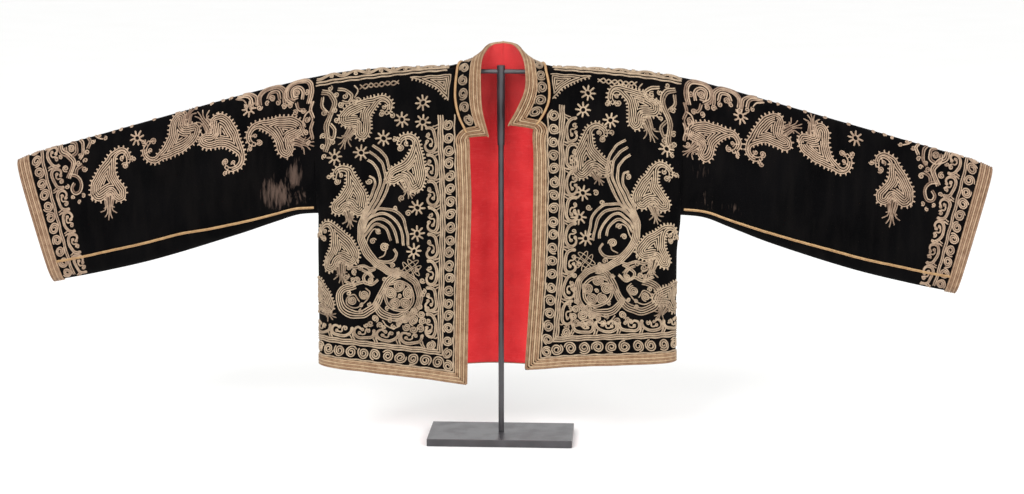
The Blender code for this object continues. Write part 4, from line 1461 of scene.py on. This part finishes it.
def build_collar_edges():
    edge, seam = Cords(), Cords()
    for name, side in SIDES.items():
        sheet, body = collars[name], bodies[name]
        width = sheet.vs[-1]
        notch = float(notch_at(side))
        corner_x = float(edge_x(side, np.array(notch)))
        corner, _ = body.points(np.array((float(u_at(body, corner_x, notch)), -notch)), 0.0012)
        for k in range(BAND_CORDS):
            d = (k + 0.5) / BAND_CORDS
            inset = d * COLLAR_BRAID_WIDTH
            below = np.array((float(u_at(body, corner_x + d * BRAID_WIDTH, notch)), -notch))
            low, low_normal = body.points(below, 0.0012)
            path = flow(
                [
                    (inset, 0.0015),
                    (inset, width * 0.35),
                    (inset, width - inset - 0.002),
                    (inset + 0.0012, width - inset),
                    (inset + 0.006, width - inset),
                    (sheet.length * 0.5, width - inset),
                    (sheet.length, width - inset),
                ]
            )
            points, normal = sheet.points(evened(path, 0.002), BAND_LIFT)
            swing = np.linspace(0, np.pi / 2, 10)[:-1, None]
            turning = corner + np.cos(swing) * (low - corner) + np.sin(swing) * (points[0] - corner)
            turned = mix(low_normal, normal[:1], swing / (np.pi / 2))
            points, normal = np.concatenate([turning, points]), np.concatenate([turned, normal])
            band_cord(edge, points, normal, COLLAR_BRAID_WIDTH, BAND_TONES[k] - COLLAR_DARKER, 0.0)
        out = np.stack([np.linspace(0.0, sheet.length, 110), np.full(110, width)], axis=-1)
        (top, normal), (inner, _) = sheet.points(out), sheet.points(out - (0, 0.004))
        rim(edge, top, inner, normal)
        path = np.stack([np.linspace(0.010, sheet.length, 90), np.full(90, width * 0.07)], axis=-1)
        points, normal = sheet.points(path, 0.0010)
        seam.sweep(points, normal, 0.0036, 0.55, 0.5, 0.0)
    keep(edge.made("cords_collar"), "braid", ["braid_collar"])
    keep(seam.made("cord_neck"), "seam", ["neck_cord"])


def build_hem_band():
    """The edge band of the back's hem, from side to side."""
    cords = Cords()
    for name, side in SIDES.items():
        sheet = bodies[name]
        q = -float(back_hem_at(side, 0.15))
        first = float(np.interp(-q, sheet.vs, sheet.start))
        u = np.linspace(first, float(reach_at(sheet, np.array(q))), 110)
        for k in range(BAND_CORDS):
            low = (k + 0.5) * HEM_BRAID_WIDTH / BAND_CORDS
            v = back_hem_at(side, x_at(sheet, u, np.full(110, q))) - low
            points, normal = sheet.points(np.stack([u, v], axis=-1), BAND_LIFT)
            band_cord(cords, points, normal, HEM_BRAID_WIDTH, BAND_TONES[k], 0.0)
        edge, normal = sheet.points(np.stack([u, v + low], axis=-1))
        inner, _ = sheet.points(np.stack([u, v + low - 0.004], axis=-1))
        rim(cords, edge, inner, normal)
    keep(cords.made("cords_hem_back"), "braid", ["braid_hem_back"])


def place_on_body(sheet, points, front=True):
    """Places on the cloth of points given in millimetres seen from the front."""
    points = millimetres(points)
    x, z = points[..., 0], points[..., 1]
    q = along_for(top_line(x) - z) * (1 if front else -1)
    return cloth_place(sheet, x, q)


def place_on_arm(sheet, points, front=True):
    found = []
    for x, z in millimetres(points).reshape(-1, 2):
        place = sheet.find(x, z, front)
        for _ in range(4):
            here, aside, above = (
                np.abs(sheet.read(sheet.grid, place + step)[[0, 2]])
                for step in ((0, 0), (0.002, 0), (0, 0.002))
            )
            slopes = np.stack([aside - here, above - here], axis=-1) / 0.002
            place = place + np.linalg.solve(slopes, np.array([x, z]) - here)
        found.append(place)
    return np.array(found).reshape(np.shape(points))


def front_panel(side, sheet):
    """What of a path lies on a front, clear of its braid."""

    def inside(path):
        u, v = path[..., 0], path[..., 1]
        x = x_at(sheet, u, -v)
        below_notch = -v > notch_at(side) + 0.001
        edge = edge_x(side, -v)
        in_edge = x > np.where(below_notch, edge + BRAID_WIDTH - 0.001, edge + 0.003)
        above = -v < hem_at(side, x) - HEM_BRAID_WIDTH + 0.001
        return in_edge & above & (-v > seam_at(side, x) + 0.001) & (u < reach_at(sheet, -v) - 0.001)

    return inside


def back_panel(side, sheet):
    def inside(path):
        u, v = path[..., 0], path[..., 1]
        x = x_at(sheet, u, -v)
        return (
            (v < back_hem_at(side, x) - HEM_BRAID_WIDTH + 0.001)
            & (-v < back_start_at(side, x) - 0.0002)
            & (u < reach_at(sheet, -v) - 0.001)
            & (x > 0.0002)
        )

    return inside


def arm_panel(sheet):
    def inside(path):
        u, v = path[..., 0], path[..., 1]
        half = np.interp(u, sheet.us, sheet.half)
        return (u > 0.001) & (u < sheet.length - CUFF_BRAID_WIDTH + 0.001) & (np.abs(v) < half - 0.002)

    return inside


def field(design, layout, place, hand):
    """The pines, stars, plumes and scrolls inside the borders of a front or of half the back."""
    for base, neck, root, bend, wide in layout["pines"]:
        pine(design, place(base), place(neck), bend * hand, wide / 1000, place(root))
    for point in layout["stars"]:
        star(design, place(point))
    knot(design, place(layout["knot"]))
    shift = np.array(layout["shift"])
    for count, pitch, start, end, points in PLUMES:
        tone = random.uniform(0.4, 0.8)
        design.ribbon(place(np.array(points) + shift), count, (start, end), pitch / 1000, tone)
    for x, z, radius in CURLS:
        design.coil(place(np.array((x, z)) + shift), radius * 0.00112 + 0.0004, way=random.choice((-1, 1)))


def build_front_work():
    for name, side in SIDES.items():
        sheet = bodies[name]
        cords = Cords()
        design = Design(sheet, front_panel(side, sheet), cords)
        notch = float(notch_at(side))

        def down_edge(t, d):
            t, d = alike(t, d)
            q = notch + t
            x = edge_x(side, np.maximum(q, notch)) + d
            return cloth_place(sheet, x, q)

        def along_hem(t, d):
            t, d = alike(t, d)
            q = hem_at(side, x_at(sheet, t, np.full(t.shape, 0.42))) - d
            return np.stack([t, -q], axis=-1)

        corner = float(edge_x(side, np.array(0.42)))
        bottom = float(hem_at(side, corner + 0.03)) - notch
        last = float(reach_at(sheet, np.array(0.42)))
        first = float(u_at(sheet, corner, 0.42))
        border(design, down_edge, (-0.040, bottom - 0.0145), (-0.028, bottom - 0.063), 0.0192)
        scrolls = (first + 0.070, last + 0.004)
        border(design, along_hem, (first + 0.037, last), scrolls, 0.0155, repeat=0.0345, more=HEM_MORE)
        design.coil(down_edge(bottom - 0.0475 - HEM_MORE, 0.0540), 0.0080)
        corner_lines(design, down_edge, along_hem, (-0.045, first), (bottom, last), FRONT_LINES)
        field(design, FIELD[name], lambda points: place_on_body(sheet, points), 1)
        for count, points in SHOULDER_SCROLLS:
            design.ribbon(shoulder_places(side, sheet, points), count, width=CORD * 1.15)
        for x, down, radius in SHOULDER_CURLS:
            design.coil(shoulder_places(side, sheet, (x, down)), radius / 1000 + 0.0010)
        x = np.linspace(0.078, side["armhole"] - 0.002, 120)
        q = seam_at(side, x) + 0.0030
        design.draw(cloth_place(sheet, x, q), CORD * 1.2, 0.6)
        corner_lace(design, side, sheet)
        keep(cords.made(f"work_front_{name}"), "gilt")


def shoulder_places(side, sheet, points):
    points = millimetres(points)
    x = points[..., 0] + (side["armhole"] - SIDES["left"]["armhole"])
    q = seam_at(side, x) + points[..., 1]
    return cloth_place(sheet, x, q)


def corner_lace(design, side, sheet):
    """The toothed triangle of laid cord between the shoulder seam and the neck."""
    x = np.array((0.072, 0.131, 0.112, 0.096, 0.082, 0.076))
    down = np.array((0.010, 0.009, 0.016, 0.025, 0.037, 0.047))
    q = seam_at(side, x) + down
    outline = cloth_place(sheet, x, q)
    long_side = flow(outline[1:])
    whole = np.concatenate([outline[:1], long_side])
    design.filled(whole, [long_side[4:-4]], 0.5)


# More pines and stars beside the middle of the back, as in the layout of the fronts
BACK_PINES = (
    ((72, 455), (66, 508), (80, 428), 1, 46),
    ((72, 345), (66, 398), (80, 318), 1, 46),
)
BACK_STARS = (
    *((75, 405), (96, 430), (60, 300), (78, 280), (66, 255)),
    *((84, 235), (64, 210), (88, 195), (70, 182)),
)

# The left half has the whole column of rosettes down the middle. The right half's lies outside its panel,
# so nothing of it is drawn, and that half gets its scrolls from a row of their own.
MIDDLE_DEPTH = {"left": -0.0088, "right": 0.9}
HEM_ROSETTES_START = {"left": 0.0002, "right": 0.0093}


def build_back_work():
    for name, side in SIDES.items():
        sheet = bodies[name]
        cords = Cords()
        design = Design(sheet, back_panel(side, sheet), cords)

        def down_middle(t, d):
            t, d = alike(t, d)
            q = -(t + along_for(BACK_NECK_DROP))
            return cloth_place(sheet, d, q)

        def along_hem(t, d):
            t, d = alike(t, d)
            v = back_hem_at(side, x_at(sheet, t, np.full(t.shape, -0.42))) - d
            return np.stack([t, v], axis=-1)

        bottom = float(back_hem_at(side, 0.03)) - along_for(BACK_NECK_DROP)
        last = float(reach_at(sheet, np.array(-0.42)))
        first = float(np.interp(0.42, sheet.vs, sheet.start))
        rosettes = (first + HEM_ROSETTES_START[name], last)
        scrolls = (first + 0.0365, last + 0.004)
        border(design, along_hem, rosettes, scrolls, 0.0155, 0.0182, 0.0350)
        scrolls = (0.012, bottom - 0.058)
        border(design, down_middle, (0.010, bottom - 0.030), scrolls, MIDDLE_DEPTH[name])
        if name == "right":
            count = round((bottom - 0.058 - 0.012) / 0.0375)
            repeat = (bottom - 0.058 - 0.012) / count
            for k in range(count):
                scroll_repeat(design, down_middle, 0.012 + k * repeat, repeat, 0.0154, SCROLL_RISE)
        corner_lines(design, down_middle, along_hem, (0.002, first), (bottom, last), BACK_LINES)
        field(design, FIELD[name], lambda points: place_on_body(sheet, spread_out(points), False), -1)
        for base, neck, root, bend, wide in BACK_PINES:
            base, neck, root = (place_on_body(sheet, point, False) for point in (base, neck, root))
            pine(design, base, neck, -bend, wide / 1000, root)
        for point in BACK_STARS:
            star(design, place_on_body(sheet, point, False))
        shoulder_strip(design, side, sheet)
        keep(cords.made(f"work_back_{name}"), "gilt")


def spread_out(points):
    """The layout of a front moved out for the back, which has a narrower border in its middle."""
    points = np.array(points, float)
    points[..., 0] = 100 + (points[..., 0] - 110) * 1.03
    return points


def shoulder_strip(design, side, sheet):
    """The part of the back that shows above the shoulder seam: a double line, scrolls and a chain."""
    x = np.linspace(0.076, side["armhole"] - 0.002, 150)
    q = seam_at(side, x) - SHOULDER_GAP - 0.0003
    design.draw(cloth_place(sheet, x, q), CORD * 1.4, 0.6)
    for share, size, turn_over in ((0.42, 0.0034, 1), (-0.9, 0.0042, -1), (-2.1, 0.0042, 1)):
        wave = turn_over * size * np.sin(2 * np.pi * (x - x[0]) / 0.036)
        q = seam_at(side, x) * share + wave
        path = cloth_place(sheet, x, q)
        for away in (-0.0012, 0.0012):
            design.draw(beside(path, away), CORD * 1.1, 0.55)
        for k in range(10):
            centre_x = x[0] + 0.009 + k * 0.018
            q = seam_at(side, centre_x) * share - turn_over * (0.0018 if k % 2 == 0 else -0.0018)
            design.coil(cloth_place(sheet, centre_x, q), size + 0.0008, way=1 - 2 * (k % 2))


def build_arm_work():
    for name, side in SIDES.items():
        sheet = arms[name]
        cords = Cords()
        design = Design(sheet, arm_panel(sheet), cords, 0.0062)
        for half in (-1, 1):
            front = half < 0
            for base, neck, root, bend, wide in SLEEVES[name]["pines"]:
                base, neck, root = place_on_arm(sheet, (base, neck, root), front)
                pine(design, base, neck, bend * -half, wide / 1000, root)
            for point in SLEEVES[name]["stars"]:
                star(design, place_on_arm(sheet, [point], front)[0])
            for count, points in ARM_SCROLLS:
                design.ribbon(millimetres(points) * (1, half), count, width=CORD * 1.15)
            for x, down, radius in ARM_CURLS:
                design.coil(millimetres((x, down * half)), radius / 1000 + 0.0009)
            for count, points in CUFF_SCROLLS:
                design.ribbon((sheet.length, 0) + millimetres(points) * (-1, half), count, width=CORD * 1.1)
            for back, down, radius in CUFF_CURLS:
                design.coil((sheet.length - back / 1000, down / 1000 * half), radius / 1000 + 0.0006)
        half = float(sheet.half[-1])

        def round_cuff(t, d):
            t, d = alike(t, d)
            return np.stack([sheet.length - d, t], axis=-1)

        whole = (-half, half)
        border(design, round_cuff, whole, whole, CUFF_BRAID_WIDTH + 0.0007, 0.0176, 0.0330)
        t = np.linspace(-half + 0.002, half - 0.002, 200)
        for depth in CUFF_LINES:
            design.draw(round_cuff(t, np.full(200, depth)), CORD, LINE_TONE)
        keep(cords.made(f"work_sleeve_{name}"), "arm_gilt")


def build_collar_work():
    cords = Cords()
    for name, side in SIDES.items():
        sheet = collars[name]
        width = sheet.vs[-1]
        design = Design(sheet, lambda path: np.full(len(path), True), cords)
        free = width - COLLAR_BRAID_WIDTH
        count = round((sheet.length - 0.0265) / 0.0190)
        for k in range(count):
            place = (0.0265 + k * (sheet.length - 0.0265) / count, 0.0030 + free / 2)
            rosette(design, np.array(place), 0.0092, 2 * COLLAR_DARKER)
    keep(cords.made("work_collar"), "gilt")


build_fronts()
build_back()
build_sleeves()
build_collar()
build_edges()
build_collar_edges()
build_hem_band()
build_front_work()
build_back_work()
build_arm_work()
build_collar_work()


class Finish:
    """A material and the means to add its nodes in few words."""

    def __init__(self, name, **values):
        self.material = bpy.data.materials.new(name)
        self.material.use_nodes = True
        self.tree = self.material.node_tree
        self.shader = self.tree.nodes["Principled BSDF"]
        for key, value in values.items():
            self.shader.inputs[key.replace("_", " ")].default_value = value

    def node(self, kind, settings=None, **inputs):
        made = self.tree.nodes.new(kind)
        for key, value in (settings or {}).items():
            setattr(made, key, value)
        for key, value in inputs.items():
            slot = made.inputs[int(key[1:]) if key[0] == "i" and key[1:].isdigit() else key.replace("_", " ")]
            if isinstance(value, bpy.types.NodeSocket):
                self.tree.links.new(value, slot)
            else:
                slot.default_value = value
        return made

    def math(self, operation, *values, clamp=False):
        made = self.node("ShaderNodeMath", {"operation": operation, "use_clamp": clamp})
        for slot, value in zip(made.inputs, values):
            if isinstance(value, bpy.types.NodeSocket):
                self.tree.links.new(value, slot)
            else:
                slot.default_value = value
        return made.outputs[0]

    def place(self):
        return self.node("ShaderNodeTexCoord").outputs["Object"]

    def noise(self, scale, detail, stretch=None):
        vector = self.place()
        if stretch:
            vector = self.node("ShaderNodeMapping", Vector=vector, Scale=stretch).outputs[0]
        return self.node("ShaderNodeTexNoise", Vector=vector, Scale=scale, Detail=detail).outputs[0]

    def blend(self, share, first, second):
        made = self.node("ShaderNodeMix", {"data_type": "RGBA"})
        for slot, value in zip((made.inputs[0], made.inputs[6], made.inputs[7]), (share, first, second)):
            if isinstance(value, bpy.types.NodeSocket):
                self.tree.links.new(value, slot)
            else:
                slot.default_value = value if isinstance(value, (int, float)) else (*value, 1.0)
        return made.outputs[2]

    def spread(self, value, low, high, to_low=0.0, to_high=1.0):
        made = self.node("ShaderNodeMapRange", i0=value, i1=low, i2=high, i3=to_low, i4=to_high)
        return made.outputs[0]

    def attribute(self, name):
        return self.node("ShaderNodeAttribute", {"attribute_name": name}).outputs["Fac"]

    def cloth_way(self):
        return self.node("ShaderNodeUVMap", {"uv_map": "cloth"}).outputs[0]

    def wave(self, vector, period, direction):
        """Waves with a period in metres."""
        scale = (2 * math.pi / 20 if direction != "DIAGONAL" else 2 * math.pi / 10) / period
        settings = {"bands_direction": direction, "wave_profile": "SIN"}
        return self.node("ShaderNodeTexWave", settings, Vector=vector, Scale=scale).outputs["Fac"]

    def link(self, key, value):
        self.tree.links.new(value, self.shader.inputs[key])

    def bump(self, height, distance, strength=1.0, under=None):
        made = self.node("ShaderNodeBump", Height=height, Distance=distance, Strength=strength)
        if under is not None:
            self.tree.links.new(under, made.inputs["Normal"])
        return made.outputs[0]


def velvet():
    look = Finish(
        "black_velvet", Roughness=0.85, Specular_IOR_Level=0.02, Sheen_Weight=0.02, Sheen_Roughness=0.45
    )
    broad = look.spread(look.noise(14, 4), 0.35, 0.7)
    streaks = look.spread(look.noise(60, 4, stretch=(1.0, 1.0, 0.18)), 0.42, 0.68)
    nap = look.noise(900, 2)
    worn = look.attribute("tone")
    threads = look.noise(300, 7, stretch=(1.0, 1.0, 0.13))
    patchy = look.spread(look.math("ADD", worn, look.spread(threads, 0.3, 0.7, 0.0, 0.7)), 0.80, 1.28)
    pile = look.blend(broad, (0.0006, 0.0006, 0.0008), (0.0018, 0.0017, 0.0020))
    pile = look.blend(look.math("MULTIPLY", streaks, 0.5), pile, (0.0045, 0.0038, 0.0036))
    tips = look.math("MULTIPLY", look.spread(nap, 0.45, 0.75), 0.35)
    pile = look.blend(tips, pile, (0.0062, 0.0054, 0.0051))
    look.link("Base Color", look.blend(patchy, pile, (0.070, 0.047, 0.037)))
    look.link("Roughness", look.spread(nap, 0.3, 0.7, 0.75, 0.95))
    look.shader.inputs["Sheen Tint"].default_value = (1.0, 0.95, 0.92, 1.0)
    soft = look.bump(look.noise(260, 3, stretch=(1.0, 1.0, 0.5)), 0.0010, 0.35)
    look.link("Normal", look.bump(nap, 0.0005, 0.4, soft))
    return look.material


def laid_cord(name, dark, light, period, metallic):
    look = Finish(name, Metallic=metallic, Roughness=0.46, Specular_IOR_Level=0.5)
    way = look.cloth_way()
    tone = look.attribute("tone")
    cloudy = look.noise(130, 3)
    fine = look.noise(1400, 2)
    share = look.math("ADD", tone, look.spread(cloudy, 0.3, 0.7, -0.28, 0.28))
    share = look.math("ADD", share, look.spread(fine, 0.3, 0.7, -0.15, 0.15), clamp=True)
    colour = look.blend(share, dark, light)
    twist = look.wave(way, period, "DIAGONAL")
    # Painted shade: the grooves of the twist are darkened in colour, besides the bump below
    colour = look.blend(look.spread(twist, 0.0, 0.35, 0.5, 0.0), colour, tuple(0.35 * c for c in dark))
    look.link("Base Color", colour)
    look.link("Roughness", look.spread(fine, 0.3, 0.7, 0.36, 0.58))
    rough = look.bump(fine, 0.0003, 0.3)
    look.link("Normal", look.bump(twist, 0.00045, 0.7, rough))
    return look.material


def lining():
    look = Finish("red_cotton", Roughness=0.78, Specular_IOR_Level=0.3, Sheen_Weight=0.1)
    way = look.cloth_way()
    weave = look.math("MULTIPLY", look.wave(way, 0.0009, "X"), look.wave(way, 0.0009, "Y"))
    faded = look.spread(look.noise(22, 4), 0.35, 0.7)
    slub = look.spread(look.noise(420, 2, stretch=(0.15, 1.0, 1.0)), 0.5, 0.75)
    colour = look.blend(faded, (0.76, 0.027, 0.033), (0.92, 0.052, 0.055))
    colour = look.blend(look.math("MULTIPLY", slub, 0.3), colour, (0.90, 0.10, 0.10))
    colour = look.blend(look.spread(weave, 0.0, 0.4, 0.35, 0.0), colour, (0.48, 0.012, 0.016))
    # Painted shade: a lining's tone attribute is how much shade is painted on it, blotched by noise, towards
    # a dark red
    painted_shade = look.math("MULTIPLY", look.attribute("tone"), look.spread(look.noise(45, 3), 0.3, 0.7, 0.7, 1.0))
    look.link("Base Color", look.blend(painted_shade, colour, (0.42, 0.030, 0.030)))
    look.link("Roughness", look.spread(weave, 0.0, 1.0, 0.86, 0.70))
    rumple = look.bump(look.noise(38, 3), 0.004, 0.5)
    look.link("Normal", look.bump(weave, 0.0004, 0.5, rumple))
    return look.material


def steel():
    look = Finish("black_steel", Metallic=0.0, Roughness=0.34, Specular_IOR_Level=0.65)
    grain = look.noise(900, 3)
    marks = look.spread(look.noise(35, 4), 0.4, 0.7)
    look.link("Base Color", look.blend(marks, (0.023, 0.022, 0.025), (0.040, 0.038, 0.043)))
    look.link("Roughness", look.spread(look.math("ADD", grain, marks), 0.6, 1.5, 0.28, 0.42))
    look.link("Normal", look.bump(grain, 0.0004, 0.25))
    return look.material


def pale_floor():
    look = Finish("pale_floor", Roughness=0.75, Specular_IOR_Level=0.15)
    look.link("Base Color", look.blend(look.noise(3, 2), (0.90, 0.90, 0.89), (0.93, 0.93, 0.925)))
    return look.material


finishes = {
    "velvet": velvet(),
    "lining": lining(),
    "gilt": laid_cord("gilt_cord", (0.195, 0.130, 0.083), (0.550, 0.418, 0.286), 0.0012, 0.28),
    "braid": laid_cord("edge_braid", (0.200, 0.098, 0.042), (0.480, 0.338, 0.204), 0.0021, 0.12),
    "arm_gilt": laid_cord("brown_gilt_cord", (0.190, 0.115, 0.075), (0.535, 0.385, 0.268), 0.0012, 0.25),
    "arm_braid": laid_cord("brown_edge_braid", (0.170, 0.084, 0.040), (0.425, 0.285, 0.178), 0.0021, 0.12),
    "seam": laid_cord("seam_cord", (0.280, 0.140, 0.052), (0.500, 0.320, 0.150), 0.0019, 0.15),
}
for finish, made in pieces.items():
    for piece in made:
        piece.data.materials.append(finishes[finish])
dark = steel()
for node in ("stand_base", "stand_post", "stand_head"):
    for material_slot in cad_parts[node].material_slots:
        material_slot.material = dark


def light(name, place, aim, size, power):
    lamp = bpy.data.lights.new(name, "AREA")
    lamp.shape = "RECTANGLE"
    lamp.size, lamp.size_y = size
    lamp.energy = power
    made = bpy.data.objects.new(name, lamp)
    made.location = place
    made.rotation_euler = (Vector(aim) - Vector(place)).to_track_quat("-Z", "Y").to_euler()
    bpy.context.scene.collection.objects.link(made)


FOCAL = 80.0
SENSOR = 36.0
IMAGE_WIDTH = 1024
CAMERA_TURN = math.radians(3.5)
CAMERA_PITCH = math.radians(9.79)
CAMERA_DISTANCE = 3.30
CAMERA_HEIGHT = 0.859
# How many pixels of the image the camera aims past the middle of the stand
AIM_SHIFT = 11
FLOOR_REACH = 40
FLOOR_HEIGHT = -0.0002
WORLD_STRENGTH = 1.07

lens = bpy.data.cameras.new("camera")
lens.lens = FOCAL
lens.sensor_width = SENSOR
camera = bpy.data.objects.new("camera", lens)
camera_x = CAMERA_DISTANCE * math.sin(CAMERA_TURN)
camera_y = -CAMERA_DISTANCE * math.cos(CAMERA_TURN)
camera.location = (camera_x, camera_y, CAMERA_HEIGHT)
heading = CAMERA_TURN - math.atan(AIM_SHIFT / (FOCAL / SENSOR * IMAGE_WIDTH))
level = math.cos(CAMERA_PITCH)
forward = Vector((-math.sin(heading) * level, math.cos(heading) * level, -math.sin(CAMERA_PITCH)))
camera.rotation_euler = forward.to_track_quat("-Z", "Y").to_euler()
bpy.context.scene.collection.objects.link(camera)
bpy.context.scene.camera = camera

corners = [(x * FLOOR_REACH, y * FLOOR_REACH, FLOOR_HEIGHT) for x, y in ((-1, -1), (1, -1), (1, 1), (-1, 1))]
floor = mesh_object("floor", corners, [(0, 1, 2, 3)])
floor.data.materials.append(pale_floor())

world = bpy.data.worlds.new("studio")
world.use_nodes = True
world.node_tree.nodes["Background"].inputs["Color"].default_value = (1.0, 1.0, 1.0, 1.0)
world.node_tree.nodes["Background"].inputs["Strength"].default_value = WORLD_STRENGTH
bpy.context.scene.world = world
light("key", (-1.2, -2.6, 2.6), (0.0, 0.0, 0.35), (1.8, 1.8), 80)
light("fill", (2.0, -2.4, 1.6), (0.0, 0.0, 0.35), (1.8, 1.8), 45)
bpy.context.scene.view_settings.view_transform = "Standard"
